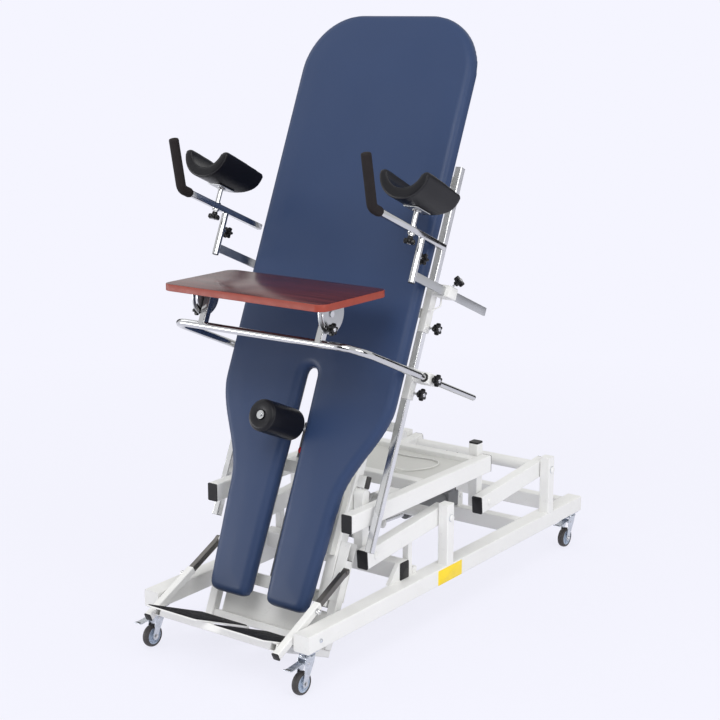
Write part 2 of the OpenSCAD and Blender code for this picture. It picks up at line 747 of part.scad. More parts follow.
module table_frame() color(white) on_top() {
    both_sides() {
        beam([frame_x0, frame_s0, tube_back], [frame_x1, frame_s1, tube_front], 1, tube_wall);
        for (s = [frame_s0 - plug_t, frame_s1])
            beam([frame_x0, s, tube_back], [frame_x1, s + plug_t, tube_front], 1);
        for (s = outrigger_s) beam([frame_x1 + weld_gap, s, side_t0], [side_x0 - weld_gap, s + outrigger_w, side_t1], 0, tube_wall);
        beam([frame_x1 + weld_gap, cross_s_pivot, cross_back], [frame_x1 + stub_len, cross_s_pivot + frame_tube, cross_front], 0);
        translate([0, pivot_s, pivot_t]) {
            rod_x(frame_x1 - tube_wall, drop_x1, pin_r);
            rod_x(frame_x1 - tube_wall, drop_x0 - slide_gap, pin_r * 1.6);
        }
        foot_guide();
        plate_x(tilt_eye_half + 1.5 * slide_gap, tilt_eye_half + 1.5 * slide_gap + lever_t) union() {
            link([cross_s_pivot + frame_tube / 2, cross_back + cross_d / 2], [pivot_s + tilt_lever_s, pivot_t + tilt_lever_t],
                cross_d / 2, tilt_eye_r);
        }
    }
    for (s = [cross_s_foot, cross_s_pivot, cross_s_slot, cross_s_head])
        beam([-frame_x0 + weld_gap, s, cross_back], [frame_x0 - weld_gap, s + frame_tube, cross_front], 0, tube_wall);
}

// Outline of the pad or the board, drawn in by d: slot, foot corners, sides and head

leg_s = 359;
hip_s = 700;
corner_share = 0.08;
arc_steps = 5;
side_steps = 23;
head_steps = 8;

function blend(u) = u * u * (3 - 2 * u);

function half_width(s) =
    s < leg_s ? (pad_foot_w + (pad_calf_w - pad_foot_w) * s / leg_s) / 2
    : s < hip_s ? (pad_calf_w + (pad_hip_w - pad_calf_w) * blend((s - leg_s) / (hip_s - leg_s))) / 2
    : (pad_hip_w + (pad_head_w - pad_hip_w) * (s - hip_s) / (pad_len - hip_s)) / 2;

function arc(c, r, a0, a1, n) = [for (i = [0:n]) let(a = a0 + (a1 - a0) * i / n) c + r * [cos(a), sin(a)]];

function half_outline(d) = let(
        r_foot = max(foot_r - d, foot_r * corner_share),
        slot_c = slot_len - slot_top_w / 2,
        side_s0 = foot_r + foot_r / 2,
        side_s1 = pad_len - head_r,
        head_c = half_width(side_s1) - head_r)
    concat(
        arc([0, slot_c], slot_top_w / 2 + d, 90, 0, arc_steps),
        arc([slot_foot_w / 2 + d + r_foot, d + r_foot], r_foot, 180, 270, arc_steps),
        arc([half_width(0) - d - r_foot, d + r_foot], r_foot, 270, 360, arc_steps),
        [for (i = [0:side_steps - 1]) let(s = side_s0 + (side_s1 - side_s0) * i / side_steps) [half_width(s) - d, s]],
        arc([head_c, side_s1], head_r - d, 0, 90, head_steps)
    );

function outline(d) = let(right = half_outline(d), n = len(right))
    concat(right, [for (i = [n - 1:-1:1]) [-right[i][0], right[i][1]]]);

board_inset = 20;

board_t0 = pad_lift - pad_t - board_t;
batten_w = 30;
batten_s0 = 200;

module backing_board() color(white) on_top() {
    translate([0, 0, board_t0]) linear_extrude(board_t) polygon(outline(board_inset));
    both_sides() box([frame_x0, batten_s0, -board_back], [frame_x0 + batten_w, frame_s1 - batten_s0, board_t0 + overrun]);
}

// The pad's rings as inset and depth: drawn in under, full in the middle, rounded and crowned
pad_round = 20;
pad_crown = 2.5;
pad_inset_shares = [0.3, 0.05, 0, 0.12, 0.45, 1, 1.5];
pad_depth_shares = [1, 0.8, 0.55, 0.3, 0.12, 0.035, 0];

module pad() color(navy) on_top() translate([0, 0, pad_lift]) skin([
    for (i = [0:len(pad_inset_shares) - 1]) [
        for (p = outline(pad_inset_shares[i] * pad_round))
            [p[0], p[1], -pad_t * pad_depth_shares[i] - (i < 5 ? pad_crown * (1 - pad_depth_shares[i]) : 0)]]
]);

module side_rails() color(steel) on_top() both_sides() {
    beam([side_x0, rail_s0, side_t0], [side_x1, rail_s1, side_t1], 1, tube_wall);
    for (s = [rail_s0 - plug_t, rail_s1]) beam([side_x0, s, side_t0], [side_x1, s + plug_t, side_t1], 1);
}

// Index rail behind the leg slot, with its row of pin holes

index_w = 50;
index_d = 12;
index_s0 = 84;
index_s1 = slot_len + 6;
index_t1 = tube_front - slide_gap;
index_t0 = index_t1 - index_d;
hole_r = 5;
hole_pitch = 55;
hole_s0 = 118;
hole_count = 11;
index_wall = 3;

module index_rail() color([0.80, 0.80, 0.79]) on_top() difference() {
    box([-index_w / 2, index_s0, index_t0], [index_w / 2, index_s1, index_t1]);
    box([-index_w / 2 + index_wall, index_s0 - overrun, index_t0 - overrun],
        [index_w / 2 - index_wall, index_s1 + overrun, index_t1 - index_wall]);
    for (i = [0:hole_count - 1]) translate([0, hole_s0 + i * hole_pitch, index_t0])
        cylinder(r = hole_r, h = index_d + overrun);
}

// Knee roll on its carriage, with the pull pin that finds the holes

plunger_s = hole_s0 + 7 * hole_pitch;
carriage_t = 6;
carriage_wall = 3;
carriage_margin = 24;
stem_r = 10;
roll_gap = pad_lift + 12;
roll_edge_r = 10;
plunger_r = hole_r - 2 * run_fit;
plunger_knob_r = 11;
plunger_knob_h = 18;
plunger_neck_h = 10;

module knee_carriage() color(steel) on_top() {
    t0 = index_t1 + slide_gap;
    half = index_w / 2 + slide_gap;
    difference() {
        beam([-half - carriage_wall, plunger_s - carriage_margin, t0], [half + carriage_wall, roll_s + carriage_margin, t0 + carriage_t], 2);
        translate([0, plunger_s, t0 - overrun]) cylinder(r = plunger_r + run_fit, h = carriage_t + 2 * overrun);
    }
    both_sides() box([half, plunger_s - carriage_margin + tube_r, index_t0 + overrun], [half + carriage_wall, roll_s + carriage_margin - tube_r, t0 + carriage_t / 2]);
    translate([0, roll_s, t0]) cylinder(r = stem_r, h = roll_gap - t0 + roll_edge_r);
    translate([0, roll_s, roll_gap + roll_len - 1.5 * overrun]) {
        cylinder(r = 1.4 * stem_r, h = 2 * overrun);
        cylinder(r = 0.7 * stem_r, h = 4 * overrun, $fn = 6);
    }
}

module knee_roll() color(black) on_top() translate([0, roll_s, roll_gap]) rotate_extrude() {
    core_r = stem_r + run_fit;
    dish = 2;
    polygon([[core_r, roll_edge_r + slide_gap], [core_r, roll_edge_r / 4], [roll_r - roll_edge_r, 0], [roll_r - roll_edge_r, roll_edge_r + slide_gap]]);
    polygon([
        [0, roll_edge_r + slide_gap], [roll_r, roll_edge_r + slide_gap], [roll_r, roll_len - roll_edge_r],
        [roll_r - roll_edge_r, roll_len], [1.5 * stem_r, roll_len - dish], [1.5 * stem_r, roll_len - 2 * dish],
        [0, roll_len - 2 * dish]
    ]);
    for (y = [roll_edge_r, roll_len - roll_edge_r]) intersection() {
        translate([roll_r - roll_edge_r, y]) circle(roll_edge_r);
        square([roll_r, roll_len]);
    }
}

module index_plunger() color([0.75, 0.08, 0.10]) on_top() translate([0, plunger_s, index_t1 + slide_gap]) {
    cylinder(r = plunger_r, h = carriage_t + plunger_neck_h);
    translate([0, 0, carriage_t + plunger_neck_h]) rotate_extrude() {
        translate([0, 0]) square([plunger_knob_r * 0.7, plunger_knob_h]);
        translate([0, plunger_knob_h / 3]) square([plunger_knob_r, plunger_knob_h / 2]);
    }
}

// Footrest: tubes in the guides, forward arms, heel rod, cross bar, heel panel and braces

foot_tube_top = 190;
fore_w = 25;
fore_x0 = 225;
fore_x1 = fore_x0 + fore_w;
fore_t1 = 195;
fore_s1 = foot_under_s - slide_gap;
fore_s0 = fore_s1 - fore_w;
hinge_s = fore_s1 - 9;
hinge_t = heel_t - 6;
hinge_r = 6;
heel_panel_s1 = 20;
heel_panel_t = 2;
brace_x = 262.6;
brace_size = 25;
brace_rod = 20;
brace_top = [159, -50];
brace_foot = [fore_s0 + fore_w / 2, fore_t1 - fore_w / 2];
brace_len = norm(brace_top - brace_foot);
brace_angle = atan2(brace_top[1] - brace_foot[1], brace_top[0] - brace_foot[0]);
brace_tail = 30;
sleeve_share = 0.56;
brace_bolt_r = 8;

module foot_frame() color(white) on_top() {
    both_sides() {
        beam([foot_x0, fore_s1, foot_t0], [foot_x1, foot_tube_top, foot_t1], 1, tube_wall);
        beam([foot_x0, foot_tube_top, foot_t0], [foot_x1, foot_tube_top + plug_t, foot_t1], 1);
        beam([fore_x0, fore_s0, foot_t0], [fore_x1, fore_s1, fore_t1], 2, tube_wall);
        plate_x(foot_x1, foot_x1 + guide_t) link(brace_top, [brace_top[0], foot_t1 - foot_tube / 2], 1.5 * brace_bolt_r, foot_tube / 3);
    }
    beam([-fore_x0 + weld_gap, fore_s0, fore_t1 - fore_w], [fore_x0 - weld_gap, fore_s1, fore_t1], 0, tube_wall);
    beam([-foot_x0 + weld_gap, fore_s1, foot_t0], [foot_x0 - weld_gap, fore_s1 + fore_w, foot_t0 + fore_w], 0, tube_wall);
    translate([0, hinge_s, hinge_t]) rod_x(-fore_x0 - tube_wall, fore_x0 + tube_wall, hinge_r);
    panel_t1 = foot_t0 - slide_gap - 2 * guide_t;
    box([-frame_x1, fore_s1, panel_t1 - heel_panel_t], [frame_x1, heel_panel_s1, panel_t1]);
    box([-frame_x1, fore_s1, panel_t1 - heel_panel_t], [frame_x1, fore_s1 + heel_panel_t, foot_t0]);
}

// Local frame of a brace: +Y runs up it from the cross bar
module on_brace() on_top() both_sides() translate([brace_x, brace_foot[0], brace_foot[1]]) rotate([brace_angle, 0, 0]) children();

module brace_sleeves() color(white) on_brace() {
    half = brace_size / 2;
    top = brace_len * sleeve_share;
    difference() {
        beam([-half, -brace_tail, -half], [half, top, half], 1);
        beam([-brace_rod / 2 - slide_gap, 0, -brace_rod / 2 - slide_gap], [brace_rod / 2 + slide_gap, top + overrun, brace_rod / 2 + slide_gap], 1, 0, tube_r / 2);
    }
    beam([-half, -brace_tail - plug_t, -half], [half, -brace_tail, half], 1);
    translate([half, top - brace_size, 0]) rotate([0, 90, 0]) {
        cylinder(r = knob_neck_r, h = knob_neck_h);
        translate([0, 0, knob_neck_h]) bolt_dome(knob_neck_r);
    }
}

module brace_rods() color(steel) on_brace() {
    half = brace_rod / 2;
    eye_x0 = foot_x1 + guide_t + slide_gap - brace_x;
    beam([-half, overrun, -half], [half, brace_len - 2 * brace_bolt_r, half], 1, 0, tube_r / 2);
    plate_x(eye_x0, half) link([brace_len - 3 * brace_bolt_r, 0], [brace_len, 0], brace_bolt_r, 1.4 * brace_bolt_r);
    translate([half, brace_len, 0]) rotate([0, 90, 0]) bolt_dome(brace_bolt_r);
}

foot_gap = 32;
foot_corner = 12;
tread_count = 11;
tread_h = 1;
knuckle_len = 46;

module footplate(right) on_top() side(right) {
    x1 = foot_gap + foot_w;
    color(white) difference() {
        union() {
            translate([0, foot_under_s, 0]) rotate([-90, 0, 0]) linear_extrude(foot_plate_t)
                translate([foot_gap + foot_w / 2, -(heel_t + toe_t) / 2]) round_rect(foot_w, foot_len, foot_corner);
            for (x = [foot_gap + foot_corner, fore_x0 - knuckle_len - tube_r]) {
                translate([0, hinge_s, hinge_t]) rod_x(x, x + knuckle_len, 1.5 * hinge_r);
                plate_x(x, x + knuckle_len) polygon([
                    [hinge_s, hinge_t], [foot_under_s + foot_plate_t / 2, heel_t],
                    [foot_under_s + foot_plate_t / 2, heel_t + 2 * hinge_r], [hinge_s, hinge_t + 1.4 * hinge_r]
                ]);
            }
        }
        translate([0, hinge_s, hinge_t]) rod_x(0, x1 + overrun, hinge_r + run_fit);
    }
    color(black) {
        mat_w = foot_w - foot_corner;
        mat_len = foot_len - foot_corner;
        translate([0, foot_s - foot_mat_t, 0]) rotate([-90, 0, 0]) linear_extrude(foot_mat_t - tread_h)
            translate([foot_gap + foot_w / 2, -(heel_t + toe_t) / 2]) round_rect(mat_w, mat_len, foot_corner / 2);
        pitch = mat_w / tread_count;
        for (i = [0:tread_count - 1]) box(
            [foot_gap + foot_corner / 2 + pitch * (i + 0.2), foot_s - tread_h, heel_t + foot_corner],
            [foot_gap + foot_corner / 2 + pitch * (i + 0.8), foot_s, toe_t - foot_corner]);
    }
}

// Tray: clamps on the side rails, bent bar, posts, board and its two tilt sectors

clamp_t = 4;
clamp_x0 = side_x0 + rail_size / 5;
clamp_x1 = side_x1 + slide_gap + clamp_t;
bar_x = 375;
tray_clamp_s0 = tray_s - 76;
tray_clamp_s1 = tray_s + 24;
block_w = 36;
block_x1 = bar_x + 18;
block_t1 = side_t1 - 2;
block_t0 = block_t1 - 50;
lock_s = tray_s - 54;
arm_clamp_s0 = arm_s - 140;
arm_clamp_s1 = arm_s + 21;
arm_lock_s = arm_s - 123;

// A channel that wraps a side rail from outside and is open towards the frame
module rail_clamp(s0, s1) {
    box([side_x1 + slide_gap, s0, side_t0 - slide_gap - clamp_t], [clamp_x1, s1, side_t1 + slide_gap + clamp_t * 0.8]);
    box([clamp_x0, s0, side_t0 - slide_gap - clamp_t], [clamp_x1, s1, side_t0 - slide_gap]);
    box([clamp_x0, s0, side_t1 + slide_gap], [clamp_x1, s1, side_t1 + slide_gap + clamp_t * 0.8]);
}

module lock_knob(s) {
    boss_h = 8;
    translate([clamp_x1, s, (side_t0 + side_t1) / 2]) rotate([0, 90, 0]) {
        cylinder(r = knob_neck_r, h = boss_h);
        color(black) translate([0, 0, boss_h + knob_h]) star_knob(knob_h);
    }
}

module tray_clamps() color(white) on_top() both_sides() {
    difference() {
        union() {
            rail_clamp(tray_clamp_s0, tray_clamp_s1);
            beam([clamp_x1 - clamp_t / 2, tray_s - block_w / 2, block_t0], [block_x1, tray_s + block_w / 2, block_t1], 2);
        }
        translate([bar_x, tray_s, block_t0 - overrun]) cylinder(r = rod_r + run_fit, h = block_t1 - block_t0 + 2 * overrun);
    }
    lock_knob(lock_s);
}

bar_knob_t = (block_t0 + block_t1) / 2;

module tray_bar_knobs() color(black) on_top() both_sides()
    translate([block_x1 + slide_gap, tray_s, bar_knob_t]) rotate([0, 90, 0]) star_knob(0);

bend_r = 80;
bar_rear_t = -385;
bar_joint_t = -30;
post_x = 235;
post_tube = 25;
tray_pivot_s = tray_s + 95;
tray_lock_r = 46;
sector_gap = 2;
sector_t = 4;
sector_x0 = post_x + post_tube / 2 + sector_gap;
sector_r = 62;
tray_pin_r = 6;

module tray_bar() color(steel) on_top() {
    both_sides() {
        translate([bar_x, tray_s, bar_rear_t]) cylinder(r = rod_r, h = bar_joint_t - bar_rear_t + overrun);
        translate([bar_x, tray_s, bar_joint_t]) cylinder(r = bar_r, h = tray_t - bend_r - bar_joint_t);
        translate([bar_x - bend_r, tray_s, tray_t - bend_r]) rotate([90, 0, 0])
            rotate_extrude(angle = 90) translate([bend_r, 0]) circle(bar_r);
        beam([post_x - post_tube / 2, tray_s, tray_t - post_tube / 2], [post_x + post_tube / 2, tray_pivot_s + post_tube / 2, tray_t + post_tube / 2], 1);
        translate([0, tray_pivot_s, tray_t]) {
            rod_x(post_x, sector_x0 + sector_t + slide_gap + tray_pin_r / 2, tray_pin_r);
            rod_x(sector_x0 + sector_t + slide_gap, sector_x0 + sector_t + slide_gap + tray_pin_r / 2, 1.6 * tray_pin_r);
            rod_x(post_x, sector_x0 - slide_gap, 1.6 * tray_pin_r);
        }
    }
    translate([0, tray_s, tray_t]) rod_x(-bar_x + bend_r, bar_x - bend_r, bar_r);
}

module tray_tilt_knobs() color(black) on_top() both_sides()
    translate([sector_x0 + sector_t + 3 * slide_gap, tray_pivot_s - tray_lock_r, tray_t]) rotate([0, 90, 0])
        star_knob(sector_t + sector_gap + 2 * slide_gap);

tray_pivot = eye_world(tray_pivot_s, tray_t);
tray_under = 31;
tray_fore = 131;
tray_corner = 34;
tray_edge = 5;

// The tray stands level, so it is drawn in floor coordinates about its pivot
module on_tray() on_floor() translate([0, tray_pivot[0], tray_pivot[1]]) children();

module tray_board() color([0.42, 0.12, 0.11]) on_tray() {
    translate([0, tray_d / 2 - tray_fore, tray_under]) {
        linear_extrude(tray_h) round_rect(tray_w, tray_d, tray_corner);
    }
}

slot_a0 = -4;
slot_a1 = 98;
lock_slot_gap = 0.5;
lock_slot_r = knob_screw_r + lock_slot_gap;

// The sector hangs from the tray: a half disc with a curved slot about the tray's pivot
module sector_outline() difference() {
    union() {
        intersection() {
            circle(sector_r);
            translate([-sector_r, -sector_r]) square([2 * sector_r, sector_r]);
        }
        translate([-sector_r, 0]) square([2 * sector_r, tray_under]);
    }
    circle(tray_pin_r + run_fit);
    rotate(-90 - slot_a1) intersection() {
        difference() {
            circle(tray_lock_r + lock_slot_r);
            circle(tray_lock_r - lock_slot_r);
        }
        sweep = slot_a1 - slot_a0;
        polygon(concat([[0, 0]], [for (i = [0:8]) 2 * sector_r * [cos(sweep * i / 8), sin(sweep * i / 8)]]));
    }
    for (a = [slot_a0, slot_a1]) rotate(-90 - a) translate([tray_lock_r, 0]) circle(lock_slot_r + slide_gap);
}

module tray_sectors() color(steel) on_tray() both_sides() {
    plate_x(sector_x0, sector_x0 + sector_t) sector_outline();
    flange_w = 24;
    box([sector_x0, -sector_r, tray_under - sector_t], [sector_x0 + flange_w, sector_r, tray_under]);
}

// Armrests: a clamp on the side rail, a flat bar, a telescopic post, the forearm bar and its gutter

flat_w = 28;
flat_t = 8;
flat_x = 372;
flat_t0 = -337;
flat_t1 = 115;
arm_post_r = 11;
arm_post_s0 = arm_s - 24;
arm_post_s1 = arm_s + 101;
arm_post_t = flat_t1 + arm_post_r;
inner_post_r = 8;
post_knob_s = arm_post_s1 - 40;
forearm_size = 20;
forearm_s = arm_s + 127;
forearm_t0 = -4;
forearm_t1 = 372;
gutter_stem_t = 188;
gutter_stem_r = 8;
left_gutter_reach = 60;
gutter_s = forearm_s + 64;
gutter_wall = 22;
gutter_fore = 113;
arm_block_x1 = flat_x + 20;
knob_dir = 45;

function reach(right) = right ? 0 : left_reach;

module armrest_clamp(right) color(white) on_top() side(right) {
    difference() {
        union() {
            rail_clamp(arm_clamp_s0, arm_clamp_s1);
            beam([clamp_x1 - clamp_t / 2, arm_s - block_w / 2, block_t0], [arm_block_x1, arm_clamp_s1, block_t1], 2);
        }
        box([flat_x - flat_t / 2 - slide_gap, arm_s - flat_w / 2 - slide_gap, block_t0 - overrun],
            [flat_x + flat_t / 2 + slide_gap, arm_s + flat_w / 2 + slide_gap, block_t1 + overrun]);
    }
    lock_knob(arm_lock_s);
}

clamp_knob_at = [arm_block_x1 - block_w / 6, arm_clamp_s1 + 3];

module clamp_knob(right) color(black) on_top() side(right)
    translate([clamp_knob_at[0], clamp_knob_at[1], bar_knob_t]) rotate([-90, 0, -knob_dir])
        translate([0, 0, knob_neck_h]) star_knob(knob_neck_h);

module armrest_bar(right) color(steel) on_top() side(right) translate([0, 0, reach(right)]) difference() {
    union() {
        box([flat_x - flat_t / 2, arm_s - flat_w / 2, flat_t0], [flat_x + flat_t / 2, arm_s + flat_w / 2, arm_post_t]);
        translate([flat_x, 0, arm_post_t]) rod_y(arm_post_s0, arm_post_s1, arm_post_r);
        translate([flat_x, post_knob_s, arm_post_t - arm_post_r - knob_neck_h / 2]) cylinder(r = knob_neck_r * 0.8, h = knob_neck_h);
    }
    translate([flat_x, 0, arm_post_t]) rod_y(arm_post_s0 + 2 * arm_post_r, arm_post_s1 + overrun, inner_post_r + run_fit);
}

module post_knob(right) color(black) on_top() side(right)
    translate([flat_x, post_knob_s, reach(right) + arm_post_t - arm_post_r - knob_neck_h / 2 - slide_gap])
        rotate([180, 0, 0]) star_knob(0);

module forearm_bar(right) color(steel) on_top() side(right) {
    post_t = arm_post_t + reach(right);
    difference() {
        union() {
            beam([flat_x - forearm_size / 2, forearm_s - forearm_size / 2, forearm_t0 + bar_reach(right)],
                [flat_x + forearm_size / 2, forearm_s + forearm_size / 2, forearm_t1 + bar_reach(right)], 2);
            translate([flat_x, 0, post_t]) rod_y(arm_post_s0 + 2.4 * arm_post_r, forearm_s, inner_post_r);
            translate([flat_x, 0, post_t]) rod_y(arm_post_s1 + slide_gap, forearm_s, arm_post_r);
        }
        translate([flat_x, 0, stem_t(right)]) rod_y(forearm_s - forearm_size, forearm_s + forearm_size, gutter_stem_r + run_fit);
    }
}

function bar_reach(right) = right ? 0 : left_bar_reach;

function stem_t(right) = gutter_stem_t + (right ? 0 : left_gutter_reach);

grip_r = 14;
grip_bend_r = 26;
grip_bend = 56;
grip_foot = 30;
grip_len = 150;

module hand_grip(right) color(black) on_top() side(right) translate([flat_x, forearm_s, forearm_t1 + bar_reach(right)]) {
    cylinder(r = grip_r, h = grip_foot - slide_gap);
    translate([0, grip_bend_r, grip_foot - slide_gap]) rotate([0, -90, 0]) rotate([0, 0, -90]) {
        rotate_extrude(angle = grip_bend) translate([grip_bend_r, 0]) circle(grip_r);
        rotate(grip_bend) translate([grip_bend_r, 0, 0]) {
            rod_y(0, grip_len - grip_r / 2, grip_r);
            translate([0, grip_len - grip_r / 2, 0]) rotate([-90, 0, 0]) {
                cylinder(r1 = grip_r, r2 = grip_r * 0.75, h = grip_r / 2);
            }
        }
    }
}

// A padded half pipe with rounded lips, cut round at its rear corners
gutter_rise = 84;

module arm_gutter(right) on_top() side(right) translate([flat_x, gutter_s, stem_t(right)]) {
    outer_r = gutter_w / 2;
    inner_r = outer_r - gutter_wall;
    lip_a = 14;
    color(black) intersection() {
        translate([0, outer_r, gutter_fore - gutter_len]) linear_extrude(gutter_len) {
            difference() {
                circle(outer_r);
                circle(inner_r);
                polygon([[0, 0], 3 * outer_r * [cos(lip_a), sin(lip_a)], [3 * outer_r, 3 * outer_r],
                    [-3 * outer_r, 3 * outer_r], 3 * outer_r * [-cos(lip_a), sin(lip_a)]]);
            }
            for (x = [-1, 1]) translate((outer_r + inner_r) / 2 * [x * cos(lip_a), sin(lip_a)]) circle(gutter_wall / 2);
        }
        plate_x(-gutter_w, gutter_w) translate([gutter_w / 2, gutter_fore - gutter_len / 2])
            round_rect(gutter_w, gutter_len, gutter_w * 0.3);
    }
    color(steel) translate([0, -gutter_s + forearm_s - forearm_size, 0])
        rod_y(0, gutter_s - forearm_s + forearm_size + gutter_wall / 2, gutter_stem_r);
}

module gutter_knob(right) color(black) on_top() side(right)
    translate([flat_x, forearm_s - forearm_size - slide_gap, stem_t(right)]) rotate([90, 0, 0]) star_knob(0);

base_rails();
base_uprights();
caster_plates();
caster_fork(true, false);  // caster_fork_fl
caster_fork(true, true);  // caster_fork_fr
caster_fork(false, false);  // caster_fork_rl
caster_fork(false, true);  // caster_fork_rr
caster_wheel(true, false);  // caster_wheel_fl
caster_wheel(true, true);  // caster_wheel_fr
caster_wheel(false, false);  // caster_wheel_rl
caster_wheel(false, true);  // caster_wheel_rr
caster_pedal(true, false);  // caster_pedal_fl
caster_pedal(true, true);  // caster_pedal_fr
caster_pedal(false, false);  // caster_pedal_rl
caster_pedal(false, true);  // caster_pedal_rr
front_arms();
rear_arms();
lift_frame();
lift_frame_caps();
equipment_plate();
actuator_cable();
lift_motor();
lift_rod();
tilt_motor();
tilt_rod();
table_frame();
backing_board();
pad();
side_rails();
index_rail();
knee_carriage();
knee_roll();
index_plunger();
foot_frame();
brace_sleeves();
brace_rods();
footplate(false);  // footplate_left
footplate(true);  // footplate_right
tray_clamps();
tray_bar();
tray_board();
tray_sectors();
tray_bar_knobs();
tray_tilt_knobs();
armrest_clamp(false);  // armrest_clamp_left
armrest_clamp(true);  // armrest_clamp_right
armrest_bar(false);  // armrest_bar_left
armrest_bar(true);  // armrest_bar_right
forearm_bar(false);  // forearm_bar_left
forearm_bar(true);  // forearm_bar_right
hand_grip(false);  // hand_grip_left
hand_grip(true);  // hand_grip_right
arm_gutter(false);  // arm_gutter_left
arm_gutter(true);  // arm_gutter_right
clamp_knob(false);  // clamp_knob_left
clamp_knob(true);  // clamp_knob_right
post_knob(false);  // post_knob_left
post_knob(true);  // post_knob_right
gutter_knob(false);  // gutter_knob_left
gutter_knob(true);  // gutter_knob_right
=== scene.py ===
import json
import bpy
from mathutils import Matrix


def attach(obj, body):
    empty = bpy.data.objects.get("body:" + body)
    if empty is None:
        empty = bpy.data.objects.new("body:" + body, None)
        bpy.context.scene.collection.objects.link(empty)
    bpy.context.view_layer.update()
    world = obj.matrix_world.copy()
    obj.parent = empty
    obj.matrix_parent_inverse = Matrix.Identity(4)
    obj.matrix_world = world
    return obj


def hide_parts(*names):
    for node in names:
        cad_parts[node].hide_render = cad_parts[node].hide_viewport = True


bl_info = {
    "name": "Physiotherapy tilt table",
    "version": (1, 0, 0),
    "blender": (4, 5, 0),
    "location": "View3D > Sidebar > Tilt Table",
    "description": "Dresses the packed tilt table with upholstery, hardware and finishes",
    "category": "Object",
}

from math import acos, atan2, cos, degrees, hypot, pi, radians, sin, tan, tanh

import bmesh
import bpy
import numpy as np
from mathutils import Matrix, Vector

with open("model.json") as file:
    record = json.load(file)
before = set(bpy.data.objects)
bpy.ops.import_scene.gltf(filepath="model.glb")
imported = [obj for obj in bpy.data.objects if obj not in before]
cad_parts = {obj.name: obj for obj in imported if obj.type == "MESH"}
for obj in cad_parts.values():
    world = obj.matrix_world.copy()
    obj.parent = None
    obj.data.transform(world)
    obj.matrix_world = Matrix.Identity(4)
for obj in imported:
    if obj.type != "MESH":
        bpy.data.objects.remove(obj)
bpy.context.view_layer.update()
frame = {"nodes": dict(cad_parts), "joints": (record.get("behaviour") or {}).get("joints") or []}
JOINTS = {joint["name"]: joint for joint in frame["joints"]}
MM = 0.001

# The table top's own frame: x across, s from the feet to the head, t out of the pad's face
PIVOT_S = 407.0
PIVOT_T = -75.0
UP_TABLE = Vector(JOINTS["knee_height"]["axis"])
OUT_TABLE = Vector(JOINTS["index_pull"]["axis"])
TOP = Matrix.Identity(4)
TOP.col[1][:3] = UP_TABLE
TOP.col[2][:3] = OUT_TABLE
TOP.col[3][:3] = (
    Vector(JOINTS["tilt"]["pos_m"])
    - UP_TABLE * PIVOT_S * MM
    - OUT_TABLE * PIVOT_T * MM
)
AS_DRAWN = Matrix.Identity(4)
TRAY = Matrix.Translation(JOINTS["tray_tilt"]["pos_m"])
PLAN_TILT_Y = 401
ORIGIN_Y = -(JOINTS["tilt"]["pos_m"][1] / MM - PLAN_TILT_Y)
BASE = Matrix.Translation((0, -ORIGIN_Y, 0))
SIDES = {"left": -1, "right": 1}
BOTH = (1, -1)
ACROSS, ALONG, BACKWARD = (1, 0, 0), (0, 1, 0), (0, 0, -1)

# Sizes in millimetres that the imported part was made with
PAD_LENGTH = 1986
PAD_DEPTH = 48
PAD_LIFT = 36
FOOT_WIDTH = 394
CALF_WIDTH = 436
HIP_WIDTH = 686
HEAD_WIDTH = 692
CALF_S = 359
HIP_S = 700
HEAD_RADIUS = 205
FOOT_RADIUS = 28
SLOT_LENGTH = 775
SLOT_TOP_WIDTH = 56
SLOT_FOOT_WIDTH = 76
SLOT_CENTRE = SLOT_LENGTH - SLOT_TOP_WIDTH / 2
RAIL_OUT = 331
RAIL_IN = 306
RAIL_LOW = -87.5
RAIL_HIGH = -62.5
SLIP = 0.3
CLAMP_WALL = 4
CLAMP_OUT = RAIL_OUT + SLIP + CLAMP_WALL
CLAMP_IN = 311
TRAY_S = 810
ARM_S = 1094
BAR_X = 375
FLAT_X = 372
BLOCK_HIGH = -64.5
BLOCK_LOW = -114.5
BLOCK_MIDDLE = (BLOCK_HIGH + BLOCK_LOW) / 2
TRAY_BLOCK_OUT = 393
ARM_BLOCK_OUT = 392
TRAY_FACE_T = 327
TRAY_PIVOT_S = TRAY_S + 95
TRAY_WIDTH, TRAY_DEPTH, TRAY_THICK = 640, 336, 22
TRAY_FORE, TRAY_UNDER = 131, 31
FOREARM_S = ARM_S + 127
POST_TOP_S = ARM_S + 101
POST_KNOB_S = POST_TOP_S - 40
POST_RADIUS = 11
GUTTER_S = FOREARM_S + 64
REACH = {"left": 70, "right": 0}
BAR_REACH = {"left": 14, "right": 0}
STEM_T = {"left": 248, "right": 188}
BAR_FRONT_T = 372
BAR_REAR_T = -4
FLAT_REAR_T = -337
POST_T = 126
# The pad's crown, its front band, the tucks (count, depth) round the slot and the foot corners, and its sway
CROWN_REACH, FRONT_FOOT, FRONT_RISE = 90, -20, 18
SLOT_TUCKS, FOOT_TUCKS = (26, 0.7), (22, 0.5)
TUCK_REACH, RIM_REACH, TUCK_SHARE = 26, 24, 0.8
SWAY, SWAY_ACROSS, SWAY_ALONG = 0.35, 93, 141
ROLL_S = 574
ROLL_LENGTH = 178
ROLL_RADIUS = 52.0
ROLL_EDGE = 13.0
ROLL_GAP = PAD_LIFT + 12
GUTTER_RADIUS = 90.0
GUTTER_WALL = 25.0
GUTTER_BED = 35.0
GUTTER_FORE = 113.0
GUTTER_REAR = GUTTER_FORE - 206.0
LIP_ANGLE = -7.0
LIP_LEAN = radians(LIP_ANGLE)
GRIP_RADIUS = 14
GRIP_LENGTH = 160
GRIP_LEAN = radians(34)
PLUNGER_S = 503
FOOT_S = -84.7
FOOT_UNDER_S = -91.7
HEEL_T = -28
TOE_T = 258
FOOTPLATE_X = 138
RIBS = 30
RIB_PITCH = 192 / RIBS
BRACE_X = 262.6
